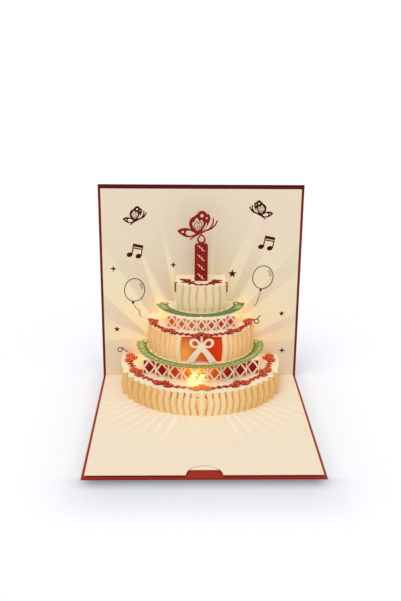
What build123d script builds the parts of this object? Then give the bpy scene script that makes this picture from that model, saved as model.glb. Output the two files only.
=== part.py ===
from build123d import *
import math
import os

# Card: a folded cover with a cream page inside, opened to a right angle and standing on its base half.
# Millimetres, X to the right, Y to the back, Z up, origin under the middle of the base.
card_width = 150.0
base_depth = 152.0
back_height = 152.0
cover_thick = 0.8
cover_fold_radius = 0.6
page_thick = 0.35
page_side_margin = 1.9
page_front_margin = 2.2
page_top_margin = 3.0
pocket_gap = 0.9
notch_radius = 11.4

# Pocket under the base half of the page, with its tape strips and the card that slides in it
tape_width = 7.0
tape_edge_margin = 2.0
message_thick = 0.4
message_setback = 7.1
message_side_gap = 3.1
message_rear_gap = 6.55

# Cake paper and what every folded wall shares
sheet = 0.35
foot_length = 3.0
foot_every = 3
wave_runs = 5
tab_length = 10.0
wall_tab_drop = 7.0
wall_tab_margin = 2.0
overrun = 50.0

# Bottom tier: height of its top over the page, how far it stands out from the middle tier, and its well.
# Its strips are counted on one side, and the outermost one ends at the reach share of the radius.
bottom_height = 17.6
bottom_centre_out = 10.2
bottom_step_out = 21.1
bottom_edge_inset = 0.5
bottom_well = 30.0
bottom_strip_count = 12
bottom_reach_share = 0.94
bottom_slot = 0.95
bottom_wave = 0.95

# Pierced band that stands on the bottom tier and carries the middle one
lower_band_height = 12.9
lower_band_ahead = 0.4
lower_band_curve = 70.0
lower_band_panels = 9
lower_band_inset = 0.2
lower_deck_margin = 3.1
lower_deck_well = 25.0
lower_backing_gap = 5.8

# Middle tier
middle_height = 20.2
middle_centre_out = 11.5
middle_radius = 39.4
middle_edge_inset = 0.4
middle_well = 20.0
middle_strip_count = 6
middle_reach_share = 0.982
middle_slot = 0.8
middle_wave = 0.7
middle_post = 4.1
window_half = 14.2
window_backing_gap = 4.6
window_backing_margin = 1.4
window_backing_play = 0.2

# Bow in the window
bow_loop_length = 8.6
bow_loop_height = 6.6
bow_loop_tilt = 16.0
bow_hole_start = 3.0
bow_hole_length = 4.2
bow_hole_height = 2.8
bow_knot_radius = 1.7
bow_knot_drop = 7.8
bow_tail_width = 5.8
bow_tail_spread = 12.0
bow_tail_fork = 1.8
bow_tail_drop = 3.4
bow_neck = 2.4

# Pierced band that stands on the middle tier and carries the top one
upper_band_height = 9.9
upper_band_ahead = 11.1
upper_band_curve = 31.0
upper_band_panels = 7
upper_band_inset = 0.65
upper_deck_margin = 1.3
upper_deck_well = 11.0
upper_backing_gap = 4.0

# Pierced pattern of both bands
band_border = 1.0
band_bar = 0.65
band_rail = 1.25

# Top tier
top_height = 20.0
top_centre_out = 5.3
top_step_in = 15.2
top_edge_inset = 0.3
top_width_share = 0.756
top_tab_width = 9.1
top_strip_count = 3
top_side_margin = 1.0
top_centre_strip = 4.7
top_slot = 0.7
top_wave = 0.75

# Leafy rings under the middle and the top tier, and the cream rings that the tiers' feet stand on
foot_ring_reach = 1.0
foot_ring_width = 6.5
foot_ring_runs = 22
wreath_under = 4.0
wreath_band = 4.6
wreath_leaf = 4.8
wreath_short_leaf = 3.2
lower_wreath_leaf_count = 42
upper_wreath_leaf_count = 28
wreath_sweep = 1.5
wreath_wall_gap = 8.0

# Red garlands on the three tiers
vine_width = 1.4
garland_leaf_length = 4.2
garland_leaf_width = 2.0
garland_leaf_lean = 40.0
vine_sway = 0.5
flower_radius = 3.3
flower_pinch_share = 0.66
flower_petals = 5
flower_spread = 3.6
cluster_arch_share = 0.5
lower_garland_inset = 7.5
lower_garland_step = 30.6
lower_garland_cluster_count = 3
middle_garland_inset = 3.6
middle_garland_step = 38.5
middle_garland_cluster_count = 2
middle_flower_radius = 2.7
centre_flower_radius = 3.0
top_garland_inset = 3.8
top_garland_cluster_count = 1
top_garland_half = 52.0
top_flower_radius = 2.3
end_tab_width = 1.5
end_tab_drop = 6.8
end_tab_root = 5.0

# Candle, flame loop and butterfly, cut from one sheet
candle_out = 15.6
candle_width = 9.6
candle_height = 28.4
candle_corner = 1.8
candle_marks = 4
mark_length = 5.4
flame_width = 5.8
flame_height = 7.2
flame_line = 1.0
butterfly_span = 28.5
butterfly_height = 22.0
butterfly_root_rise = 0.2
antenna_width = 0.7
body_width = 1.4

# Light module inside the bottom tier
board_length = 44.0
board_width = 27.0
board_thick = 0.8
board_wall_gap = 14.0
cell_diameter = 11.6
cell_height = 3.05
cell_count = 2
cell_spacing = 12.4
module_gap = 1.2
strap_thick = 0.3
strap_width = 4.0
strap_foot = 1.6
strap_reach = 0.6
chip_length = 6.0
chip_width = 5.0
chip_height = 1.2
chip_side_offset = 13.0
tongue_width = 7.0
tongue_thick = 0.2
tongue_overlap = 4.0
tongue_rise = 8.0
tongue_side_offset = 14.0
lamp_board_length = 15.0
lamp_board_height = 3.2
lamp_board_thick = 0.5
lamp_board_side = -2.3
lamp_board_rise = 0.5
lamp_length = 3.2
lamp_height = 2.4
lamp_depth = 0.9
lamp_bevel = 0.4
lamp_spacing = 6.6

# Shares of the sizes above, chosen by hand. In an outline that is rounded, every second point is a corner
# and the others lie on the arcs between them.
vine_shares = (0.0, 0.34, 0.66)
loop_shares = ((0.0, 0.0), (0.52, 0.62), (1.0, 0.14), (0.66, -0.4))
loop_hole_shares = ((0.0, 0.05), (0.3, 0.45), (0.8, 0.6), (1.0, 0.2), (0.8, -0.25), (0.3, -0.25))
forewing_shares = (
    (0.0, 0.0), (-0.26, 0.22), (-0.22, 0.56), (-0.1, 0.7),
    (0.06, 0.79), (0.17, 0.69), (0.24, 0.53), (0.16, 0.27),
)
forewing_cell_shares = (
    (-0.02, 0.12), (-0.15, 0.26), (-0.16, 0.44),
    (-0.06, 0.53), (0.03, 0.45), (0.05, 0.3),
)
forewing_slot_shares = ((0.02, 0.12), (0.08, 0.33), (0.16, 0.46), (0.13, 0.28))
hindwing_shares = ((0.0, 0.0), (-0.27, 0.2), (-0.59, 0.12), (-0.36, -0.1))
hindwing_cell_shares = ((-0.08, 0.0), (-0.22, 0.1), (-0.42, 0.08), (-0.36, 0.0), (-0.2, -0.04))
body_shares = ((-0.22, -0.16), (-0.02, 0.02), (0.1, 0.09))
antenna_shares = (
    ((0.06, 0.05), (0.2, 0.16), (0.28, 0.36)),
    ((0.06, 0.05), (0.26, 0.13), (0.38, 0.38)),
)
mark_shares = ((-0.5, 0.5), (-0.12, 0.1), (0.06, 0.3), (0.5, -0.5), (0.12, -0.1), (-0.06, -0.3))
flame_shares = ((0.0, 0.0), (0.5, 0.38), (0.0, 1.0), (-0.5, 0.38))
flame_hole_shares = (
    (-0.24, 0.06), (0.24, 0.06), (0.5, 0.4), (0.36, 0.74),
    (0.0, 1.0), (-0.36, 0.74), (-0.5, 0.4),
)

# Levels and faces that follow from the sizes
back_y = base_depth / 2
front_y = -base_depth / 2
page_under = cover_thick + pocket_gap
page_top = page_under + page_thick
wall_face = back_y - cover_thick - page_thick
bottom_top = page_top + bottom_height
lower_deck_top = bottom_top + lower_band_height
middle_foot = lower_deck_top + sheet + sheet
middle_top = middle_foot + middle_height
upper_deck_top = middle_top + upper_band_height
top_foot = upper_deck_top + sheet + sheet
top_top = top_foot + top_height
bottom_radius = middle_radius + bottom_step_out
top_radius = middle_radius - top_step_in
bottom_centre = wall_face - bottom_centre_out
middle_centre = wall_face - middle_centre_out
top_centre = wall_face - top_centre_out
top_half_width = top_radius * top_width_share
tape_inner_x = card_width / 2 - page_side_margin - tape_edge_margin - tape_width
tape_rear_face = wall_face - tape_edge_margin - tape_width
lower_deck_radius = middle_radius + lower_deck_margin
lower_band_front = middle_centre - middle_radius - lower_band_ahead
lower_band_pitch = 2 * (lower_deck_radius - lower_band_inset) / lower_band_panels
upper_deck_radius = top_radius + upper_deck_margin
upper_band_front = top_centre - top_radius - upper_band_ahead
upper_band_pitch = 2 * (upper_deck_radius - upper_band_inset) / upper_band_panels


def slab(sketch, low, thick):
    """A flat sheet lying at height low."""
    return extrude(Pos(0, 0, low) * sketch, amount=thick)


def upright(sketch, front, thick):
    """A sheet drawn in X and Z that faces the front at y = front and runs back by thick."""
    face_plane = Plane(origin=(0, front, 0), x_dir=(1, 0, 0), z_dir=(0, -1, 0))
    return extrude(face_plane * sketch, amount=-thick)


def block(x_low, x_high, y_low, y_high, z_low, z_high):
    size = (x_high - x_low, y_high - y_low, z_high - z_low)
    middle = ((x_low + x_high) / 2, (y_low + y_high) / 2, (z_low + z_high) / 2)
    return Pos(*middle) * Box(*size)


def rectangle(x_low, x_high, y_low, y_high):
    return Pos((x_low + x_high) / 2, (y_low + y_high) / 2) * Rectangle(x_high - x_low, y_high - y_low)


def rounded(points):
    """A face inside arcs: every second point is a corner, and the others lie on the arcs between them."""
    arcs = []
    for start in range(0, len(points), 2):
        end = (start + 2) % len(points)
        arcs.append(ThreePointArc(points[start], points[start + 1], points[end]))
    return make_face(arcs)


def outline(points):
    """A face inside straight lines."""
    return make_face(Polyline(*points, close=True))


def scaled(shares, width, height):
    return [(x * width, z * height) for x, z in shares]


def save(name, shape):
    shape.label = name
    export_step(shape, f"parts/{name}.step")


def on_circle(centre, radius, x):
    """The y of the front half of a circle at x."""
    return centre - math.sqrt(radius**2 - x**2)


def wavy_strip(x, width, low, high, push_left, push_right):
    """One strip of a tier's wall, its two long edges swelling sideways by a sine squared."""
    left, right = [], []
    for run in range(wave_runs + 1):
        share = run / wave_runs
        swell = math.sin(math.pi * share) ** 2
        left.append((x - width / 2 + push_left * swell, low + (high - low) * share))
        right.append((x + width / 2 + push_right * swell, low + (high - low) * share))
    return outline(left + right[::-1])


def half_disc(centre, radius):
    """A round deck cut off at the card's back."""
    return Pos(0, centre) * Circle(radius) & rectangle(-radius, radius, centre - radius, wall_face)


def open_middle(centre, well):
    """The square opening in a deck, open towards the card's back."""
    return rectangle(-well, well, centre - well, wall_face)


def horseshoe(centre, radius, well):
    return half_disc(centre, radius) - open_middle(centre, well)


def deck_spans(places):
    """The stretch of the deck's edge over each (x, width): neighbours meet halfway between them."""
    ends = [places[0][0] - places[0][1] / 2]
    for (x, width), (next_x, next_width) in zip(places, places[1:]):
        ends.append((x + width / 2 + next_x - next_width / 2) / 2)
    ends.append(places[-1][0] + places[-1][1] / 2)
    return list(zip(ends, ends[1:]))


def folded_wall(deck, panels, low, high, inside, reach):
    """A deck with upright panels folded down along its front edge, some with a foot folded inwards.

    The panels come from left to right, each as (x, front, width, face). Two tabs fold down at the back, from
    inside to reach, and lie on the page.
    """
    spans = deck_spans([(x, width) for x, front, width, face in panels])
    for (left, right), panel in zip(spans, panels):
        deck += rectangle(left, right, panel[1], panel[1] + tab_length)
    for (left, right), panel in zip(spans, panels):
        deck -= rectangle(left, right, panel[1] - overrun, panel[1])
    pieces = [slab(deck, high - sheet, sheet)]
    middle = len(panels) // 2
    for place, (x, front, width, face) in enumerate(panels):
        pieces.append(upright(face, front, sheet))
        if (place - middle) % foot_every == 0:
            pieces.append(block(x - width / 2, x + width / 2, front, front + foot_length, low, low + sheet))
    for side in (-1, 1):
        ends = sorted((side * (inside + wall_tab_margin), side * (reach - wall_tab_margin)))
        pieces.append(block(*ends, wall_face - sheet, wall_face, high - wall_tab_drop, high))
    return Part() + pieces


def plain_panel(x, width, low, high):
    return rectangle(x - width / 2, x + width / 2, low, high)


def strip_panels(centre, radius, places, low, high, wave):
    """Strips at the given (x, width), the middle one swelling both ways and the others leaning outwards."""
    panels = []
    for x, width in sorted(places):
        lean = (x > 0) - (x < 0)
        push_left = lean * wave if lean else -wave
        push_right = lean * wave if lean else wave
        face = wavy_strip(x, width, low, high, push_left, push_right)
        panels.append((x, on_circle(centre, radius, x), width, face))
    return panels


def both_sides(first_x, width, pitch, count):
    """Places of like strips, mirrored left and right."""
    return [(side * (first_x + pitch * step), width) for step in range(count) for side in (-1, 1)]


def cover():
    section = rectangle(front_y, back_y, 0, cover_thick)
    section += rectangle(back_y - cover_thick, back_y, 0, back_height)
    outer = section.vertices().filter_by(lambda v: v.X > back_y - cover_thick / 2).sort_by(Axis.Y)[0]
    section = fillet(outer, cover_fold_radius)
    side = Plane(origin=(-card_width / 2, 0, 0), x_dir=(0, 1, 0), z_dir=(1, 0, 0))
    return extrude(side * section, amount=card_width)


def inner_page():
    half = card_width / 2 - page_side_margin
    base = rectangle(-half, half, front_y + page_front_margin, wall_face + page_thick)
    base -= Pos(0, front_y + page_front_margin) * Circle(notch_radius)
    back = block(-half, half, wall_face, wall_face + page_thick, page_under, back_height - page_top_margin)
    return slab(base, page_under, page_thick) + back


def pocket_tapes():
    """Strips of tape at the sides and the rear that hold the page over the cover and leave the pocket."""
    front = front_y + page_front_margin + tape_edge_margin
    rear = tape_rear_face + tape_width
    strips = []
    for side in (-1, 1):
        ends = sorted((side * tape_inner_x, side * (tape_inner_x + tape_width)))
        strips.append(block(*ends, front, rear, cover_thick, page_under))
    inside = tape_inner_x - tape_edge_margin
    strips.append(block(-inside, inside, tape_rear_face, rear, cover_thick, page_under))
    return Compound(strips)


def message_card():
    front = front_y + page_front_margin + message_setback
    half = tape_inner_x - message_side_gap
    low = cover_thick + (pocket_gap - message_thick) / 2
    return block(-half, half, front, tape_rear_face - message_rear_gap, low, low + message_thick)


def bottom_tier():
    reach = bottom_radius * bottom_reach_share - (bottom_wave - bottom_slot) / 2
    pitch = reach / (bottom_strip_count + 1 / 2)
    strip = pitch - bottom_slot
    places = [(0, strip)] + both_sides(pitch + bottom_wave / 2, strip, pitch, bottom_strip_count)
    panels = strip_panels(bottom_centre, bottom_radius, places, page_top, bottom_top, bottom_wave)
    deck = horseshoe(bottom_centre, bottom_radius - bottom_edge_inset, bottom_well)
    return folded_wall(deck, panels, page_top, bottom_top, bottom_well, bottom_radius - bottom_edge_inset)


def band_face(x, pitch, low, high):
    """One panel of a pierced band: a rail in the shape of a lozenge between two borders and two bars."""
    face = plain_panel(x, pitch, low, high)
    inner_low = low + band_border
    inner_high = high - band_border
    half = pitch / 2 - band_bar
    rise = (inner_high - inner_low) / 2
    middle = (inner_low + inner_high) / 2
    slope = math.hypot(half, rise)
    in_x = band_rail * slope / rise / 2
    in_z = band_rail * slope / half / 2
    hole_x = half - in_x
    hole_z = rise - in_z
    face -= outline([(x - hole_x, middle), (x, middle + hole_z), (x + hole_x, middle), (x, middle - hole_z)])
    for side in (-1, 1):
        for up in (-1, 1):
            corner = (x + side * half, middle + up * rise)
            along = (x + side * in_x, middle + up * rise)
            down = (x + side * half, middle + up * in_z)
            face -= outline([corner, along, down])
    return face


def band_places(count, pitch, front, curve):
    """Centre and front of each panel of a band, along a shallow arc."""
    places = []
    for step in range(count):
        x = (step - (count - 1) / 2) * pitch
        places.append((x, on_circle(front + curve, curve, x)))
    return places


def pierced_band(places, pitch, low, high, centre, radius, well):
    panels = [(x, front, pitch, band_face(x, pitch, low, high)) for x, front in places]
    deck = horseshoe(centre, radius, well)
    for x, front in places:
        deck += rectangle(x - pitch / 2, x + pitch / 2, front, centre) - open_middle(centre, well)
    return folded_wall(deck, panels, low, high, well, radius)


def backing(places, pitch, gap, low, high):
    """A plain folded wall behind a pierced band, stepping with it, with its feet folded inwards."""
    deck = Sketch()
    pieces = []
    middle = len(places) // 2
    for place, (x, front) in enumerate(places):
        face = front + gap
        left = x - pitch / 2
        right = x + pitch / 2
        deck += rectangle(left, right, face, face + tab_length)
        pieces.append(block(left, right, face, face + sheet, low, high))
        if (place - middle) % foot_every == 0:
            pieces.append(block(left, right, face, face + foot_length, low, low + sheet))
    for x, front in places:
        deck -= rectangle(x - pitch / 2, x + pitch / 2, front, front + gap)
    return Part() + [slab(deck, high - sheet, sheet)] + pieces


def polar(centre, radius, degrees):
    """A point at an angle from straight ahead, to the right."""
    angle = math.radians(degrees)
    return (radius * math.sin(angle), centre - radius * math.cos(angle))


def ring_under(centre, radius, half_angle, low):
    """A cream ring that a tier's feet stand on, a little wider than the tier, in short straight runs."""
    turns = [half_angle * (2 * run / foot_ring_runs - 1) for run in range(foot_ring_runs + 1)]
    outer = [polar(centre, radius + foot_ring_reach, turn) for turn in turns]
    inner = [polar(centre, radius - foot_ring_width, turn) for turn in turns[::-2]]
    return slab(outline(outer + inner), low, sheet)


def wreath(centre, radius, leaves, low, half_angle):
    """A flat ring with swept leaves along its outer edge, long and short by turns."""
    inner = radius - wreath_under
    edge = radius + wreath_band
    step = 2 * half_angle / leaves
    sweep = math.degrees(wreath_sweep / edge)
    points = []
    for leaf in range(leaves):
        start = -half_angle + leaf * step
        side = 1 if start + step / 2 > 0 else -1
        tip = edge + (wreath_leaf if leaf % 2 else wreath_short_leaf)
        points.append(polar(centre, edge, start))
        points.append(polar(centre, tip, start + step / 2 + side * sweep))
    points.append(polar(centre, edge, half_angle))
    points += [polar(centre, inner, half_angle - 2 * leaf * step) for leaf in range(leaves // 2 + 1)]
    return slab(outline(points), low, sheet)


def flower(radius):
    """A flat flower with its petals' tips at radius and the notches between them nearer in."""
    points = []
    for step in range(2 * flower_petals):
        reach = radius * flower_pinch_share if step % 2 else radius
        angle = math.pi * step / flower_petals
        points.append((reach * math.sin(angle), reach * math.cos(angle)))
    return outline(points)


def cluster(centre, radius, degrees, size):
    """Three flowers side by side along the garland."""
    turn = math.degrees(flower_spread * size / flower_radius / radius)
    out = size * cluster_arch_share
    faces = []
    for step in (-1, 0, 1):
        place = polar(centre, radius + (out if step else -out), degrees + step * turn)
        faces.append(Pos(*place) * Rot(0, 0, degrees + step * turn) * flower(size))
    return faces


def leaf(centre, radius, degrees, side, lean):
    """A pointed leaf that grows off the vine, outwards or inwards, leaning towards the garland's end."""
    half = garland_leaf_width / 2
    turn = 180 if side > 0 else 0
    face = outline([(-half, 0), (half, 0), (0, garland_leaf_length)])
    return Pos(*polar(centre, radius, degrees)) * Rot(0, 0, degrees + turn - side * lean) * face


def garland(centre, radius, clusters, step, size, middle_size):
    """A vine that sways along a tier's edge, with clusters of flowers and pairs of leaves between them."""
    turns = [(gap + share) * step for gap in range(-clusters, clusters) for share in vine_shares]
    turns.append(clusters * step)
    outer, inner, faces = [], [], []
    for place, degrees in enumerate(turns):
        middle = radius + (vine_sway if place % 2 else -vine_sway)
        outer.append(polar(centre, middle + vine_width / 2, degrees))
        inner.append(polar(centre, middle - vine_width / 2, degrees))
        if place % len(vine_shares) == 0:
            faces += cluster(centre, radius, degrees, size if degrees else middle_size)
            continue
        lean = garland_leaf_lean if degrees > 0 else -garland_leaf_lean
        for side in (-1, 1):
            faces.append(leaf(centre, middle, degrees, side, lean))
    return Sketch() + [outline(outer + inner[::-1])] + faces


def middle_tier():
    post_x = window_half + middle_post / 2
    post_end = window_half + middle_post
    pitch = (middle_radius * middle_reach_share - post_end) / middle_strip_count
    strip = pitch - middle_slot
    places = [(-post_x, middle_post), (post_x, middle_post)]
    places += both_sides(post_end + middle_slot + strip / 2, strip, pitch, middle_strip_count)
    panels = strip_panels(middle_centre, middle_radius, places, middle_foot, middle_top, middle_wave)
    panels.insert(len(panels) // 2, (0, middle_centre - middle_radius, 2 * bow_tail_spread, bow()))
    deck = horseshoe(middle_centre, middle_radius - middle_edge_inset, middle_well)
    reach = middle_radius - middle_edge_inset
    return folded_wall(deck, panels, middle_foot, middle_top, middle_well, reach)


def bow():
    """The bow that fills the window, its neck folded from the deck and its tails standing on the foot."""
    knot = middle_top - bow_knot_drop
    parting = knot - bow_tail_drop
    neck = rectangle(-bow_neck / 2, bow_neck / 2, knot, middle_top)
    faces = [Pos(0, knot) * Circle(bow_knot_radius), neck]
    holes = []
    for side in (-1, 1):
        turn = Pos(0, knot) * Rot(0, 0, side * bow_loop_tilt)
        faces.append(turn * rounded(scaled(loop_shares, side * bow_loop_length, bow_loop_height)))
        hole = outline(scaled(loop_hole_shares, side * bow_hole_length, bow_hole_height))
        holes.append(turn * Pos(side * bow_hole_start, 0) * hole)
        faces.append(outline([
            (0, knot),
            (side * bow_tail_width, parting),
            (side * bow_tail_spread, middle_foot),
            (side * (bow_tail_spread - bow_tail_width / 2), middle_foot + bow_tail_fork),
            (side * (bow_tail_spread - bow_tail_width), middle_foot),
            (0, parting),
        ]))
    return Sketch() + faces - holes


def window_backing():
    """The lit panel behind the bow, folded from the deck down to the foot ring."""
    half = window_half + window_backing_margin
    between = window_half - window_backing_play
    face = middle_centre - middle_radius + window_backing_gap
    high = middle_top - sheet
    panel = block(-half, half, face, face + sheet, middle_foot + sheet, high)
    panel += block(-between, between, face, face + sheet, middle_foot, high)
    foot = block(-between, between, face, face + foot_length, middle_foot, middle_foot + sheet)
    top = block(-half, half, face, face + foot_length, high - sheet, high)
    return panel + foot + top


def top_tier():
    centre_end = (top_centre_strip + top_wave) / 2
    pitch = (top_half_width - top_side_margin - centre_end) / top_strip_count
    strip = pitch - top_slot
    places = [(0, top_centre_strip)]
    places += both_sides(centre_end + top_slot + strip / 2, strip, pitch, top_strip_count)
    panels = strip_panels(top_centre, top_radius, places, top_foot, top_top, top_wave)
    deck = half_disc(top_centre, top_radius - top_edge_inset)
    deck &= rectangle(-top_half_width, top_half_width, top_centre - top_radius, wall_face)
    return folded_wall(deck, panels, top_foot, top_top, top_half_width - top_tab_width, top_half_width)


def top_garland():
    """A swag along the top's front edge, with a narrow tab folded down at each end of the tier."""
    radius = top_radius - top_garland_inset
    vine = garland(
        top_centre, radius, top_garland_cluster_count, top_garland_half,
        top_flower_radius, top_flower_radius,
    )
    swag = slab(vine, top_top, sheet)
    tabs = []
    for side in (-1, 1):
        x = side * top_half_width
        ends = sorted((x, x + side * sheet))
        y = on_circle(top_centre, top_radius, top_half_width - sheet)
        tabs.append(block(*ends, y, y + end_tab_width, top_top - end_tab_drop, top_top + sheet))
        reach = sorted((side * (top_half_width - end_tab_root), x + side * sheet))
        tabs.append(block(*reach, y, y + end_tab_width, top_top, top_top + sheet))
    return Part() + [swag] + tabs


def stroke(shares, width):
    """A tapering line through three points, drawn as a slim crescent between two arcs."""
    start, middle, end = scaled(shares, butterfly_span, butterfly_height)
    above = (middle[0] - width / 2, middle[1] + width / 2)
    below = (middle[0] + width / 2, middle[1] - width / 2)
    return rounded([start, above, end, below])


def butterfly():
    """A side view with both wings raised, cut through between the veins."""
    span, height = butterfly_span, butterfly_height
    face = rounded(scaled(forewing_shares, span, height))
    face += rounded(scaled(hindwing_shares, span, height))
    face += stroke(body_shares, body_width)
    for shares in antenna_shares:
        face += stroke(shares, antenna_width)
    for shares in (forewing_cell_shares, forewing_slot_shares, hindwing_cell_shares):
        face -= outline(scaled(shares, span, height))
    return face


def candle_topper():
    """Candle, flame loop and butterfly in one upright sheet, with a foot folded back on the top tier."""
    low = top_top
    high = low + candle_height
    body = rectangle(-candle_width / 2, candle_width / 2, low, high)
    body = fillet(body.vertices().group_by(Axis.Y)[-1], candle_corner)
    for mark in range(candle_marks):
        spot = low + (mark + 1 / 2) * candle_height / candle_marks
        body -= Pos(0, spot) * outline(scaled(mark_shares, mark_length, mark_length))
    flame = rounded(scaled(flame_shares, flame_width, flame_height))
    hole = outline(scaled(flame_hole_shares, flame_width - 2 * flame_line, flame_height - 2 * flame_line))
    loop = Pos(0, high - flame_line / 2) * (flame - Pos(0, flame_line) * hole)
    wings = Pos(0, high + flame_height - flame_line + butterfly_root_rise) * butterfly()
    front = wall_face - candle_out
    plate = upright(body + loop + wings, front, sheet)
    foot = block(-candle_width / 2, candle_width / 2, front, front + foot_length, low, low + sheet)
    return plate + foot


def circuit_board():
    rear = wall_face - board_wall_gap
    half = board_length / 2
    return block(-half, half, rear - board_width, rear, page_top, page_top + board_thick)


def cell_places():
    y = wall_face - board_wall_gap - tongue_overlap - module_gap - cell_diameter / 2
    return [((step - (cell_count - 1) / 2) * cell_spacing, y) for step in range(cell_count)]


def button_cells():
    cell = Cylinder(cell_diameter / 2, cell_height)
    rise = page_top + board_thick + cell_height / 2
    return Compound([Pos(x, y, rise) * cell for x, y in cell_places()])


def cell_strap():
    """One bent strip that holds the cells down, its feet soldered to the board."""
    first, last = cell_places()[0], cell_places()[-1]
    y = first[1]
    low = page_top + board_thick
    high = low + cell_height
    left = first[0] - cell_diameter / 2 - strap_reach
    right = last[0] + cell_diameter / 2 + strap_reach
    front = y - strap_width / 2
    rear = y + strap_width / 2
    pieces = [block(left, right, front, rear, high, high + strap_thick)]
    for x, side in ((left, 1), (right, -1)):
        leg = sorted((x, x + side * strap_thick))
        foot = sorted((x, x - side * strap_foot))
        pieces.append(block(*leg, front, rear, low, high + strap_thick))
        pieces.append(block(*foot, front, rear, low, low + strap_thick))
    return Part() + pieces


def control_chip():
    """The flat chip that drives the lamps."""
    rear = cell_places()[0][1] - cell_diameter / 2 - module_gap
    left = -chip_side_offset - chip_length / 2
    low = page_top + board_thick
    return block(left, left + chip_length, rear - chip_width, rear, low, low + chip_height)


def switch_tongue():
    """A strip of film from the card's back to the contacts on the board."""
    low = page_top + board_thick
    left = tongue_side_offset - tongue_width / 2
    right = tongue_side_offset + tongue_width / 2
    front = wall_face - board_wall_gap - tongue_overlap
    flat = block(left, right, front, wall_face, low, low + tongue_thick)
    rise = block(left, right, wall_face - tongue_thick, wall_face, low, low + tongue_rise)
    return flat + rise


def lamp_face():
    """The y of the backing's front face, which carries the lamp board."""
    return lower_band_front + lower_backing_gap


def lamp_board():
    left = lamp_board_side - lamp_board_length / 2
    low = bottom_top + lamp_board_rise
    face = lamp_face()
    return block(left, left + lamp_board_length, face - lamp_board_thick, face, low, low + lamp_board_height)


def lamps():
    """Two lamps on the board, each a small block with sloped front edges, facing out through the band."""
    middle = bottom_top + lamp_board_rise + lamp_board_height / 2
    rear = lamp_face() - lamp_board_thick
    made = []
    for side in (-1, 1):
        x = lamp_board_side + side * lamp_spacing / 2
        body = Pos(x, rear - lamp_depth / 2, middle) * Box(lamp_length, lamp_depth, lamp_height)
        made.append(chamfer(body.faces().sort_by(Axis.Y)[0].edges(), lamp_bevel))
    return Compound(made)


lower_places = band_places(lower_band_panels, lower_band_pitch, lower_band_front, lower_band_curve)
upper_places = band_places(upper_band_panels, upper_band_pitch, upper_band_front, upper_band_curve)
lower_band = (lower_places, lower_band_pitch, bottom_top, lower_deck_top)
upper_band = (upper_places, upper_band_pitch, middle_top, upper_deck_top)
lower_inner = (lower_places, lower_band_pitch, lower_backing_gap, bottom_top, lower_deck_top - sheet)
upper_inner = (upper_places, upper_band_pitch, upper_backing_gap, middle_top, upper_deck_top - sheet)
lower_half_angle = 90 + math.degrees(math.asin((middle_centre_out - wreath_wall_gap) / middle_radius))
upper_half_angle = 90 + math.degrees(math.asin((top_centre_out - wreath_wall_gap) / top_radius))

os.makedirs("parts", exist_ok=True)
save("cover", cover())
save("inner_page", inner_page())
save("pocket_tapes", pocket_tapes())
save("message_card", message_card())
save("bottom_tier", bottom_tier())
save("lower_band", pierced_band(*lower_band, middle_centre, lower_deck_radius, lower_deck_well))
save("lower_backing", backing(*lower_inner))
lower_ring = (middle_centre, middle_radius, lower_wreath_leaf_count, lower_deck_top, lower_half_angle)
save("lower_wreath", wreath(*lower_ring))
lower_vine = garland(
    bottom_centre, bottom_radius - lower_garland_inset, lower_garland_cluster_count, lower_garland_step,
    flower_radius, flower_radius,
)
save("lower_garland", slab(lower_vine, bottom_top, sheet))
save("middle_foot_ring", ring_under(middle_centre, middle_radius, lower_half_angle, lower_deck_top + sheet))
save("middle_tier", middle_tier())
save("window_backing", window_backing())
save("upper_band", pierced_band(*upper_band, top_centre, upper_deck_radius, upper_deck_well))
save("upper_backing", backing(*upper_inner))
upper_ring = (top_centre, top_radius, upper_wreath_leaf_count, upper_deck_top, upper_half_angle)
save("upper_wreath", wreath(*upper_ring))
middle_vine = garland(
    middle_centre, middle_radius - middle_garland_inset, middle_garland_cluster_count, middle_garland_step,
    middle_flower_radius, centre_flower_radius,
)
save("middle_garland", slab(middle_vine, middle_top, sheet))
save("top_foot_ring", ring_under(top_centre, top_radius, upper_half_angle, upper_deck_top + sheet))
save("top_tier", top_tier())
save("top_garland", top_garland())
save("candle_topper", candle_topper())
save("circuit_board", circuit_board())
save("button_cells", button_cells())
save("cell_strap", cell_strap())
save("control_chip", control_chip())
save("switch_tongue", switch_tongue())
save("lamp_board", lamp_board())
save("lamps", lamps())
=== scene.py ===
import math
from collections import namedtuple

import bmesh
import bpy
from mathutils import Matrix, Vector


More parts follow.
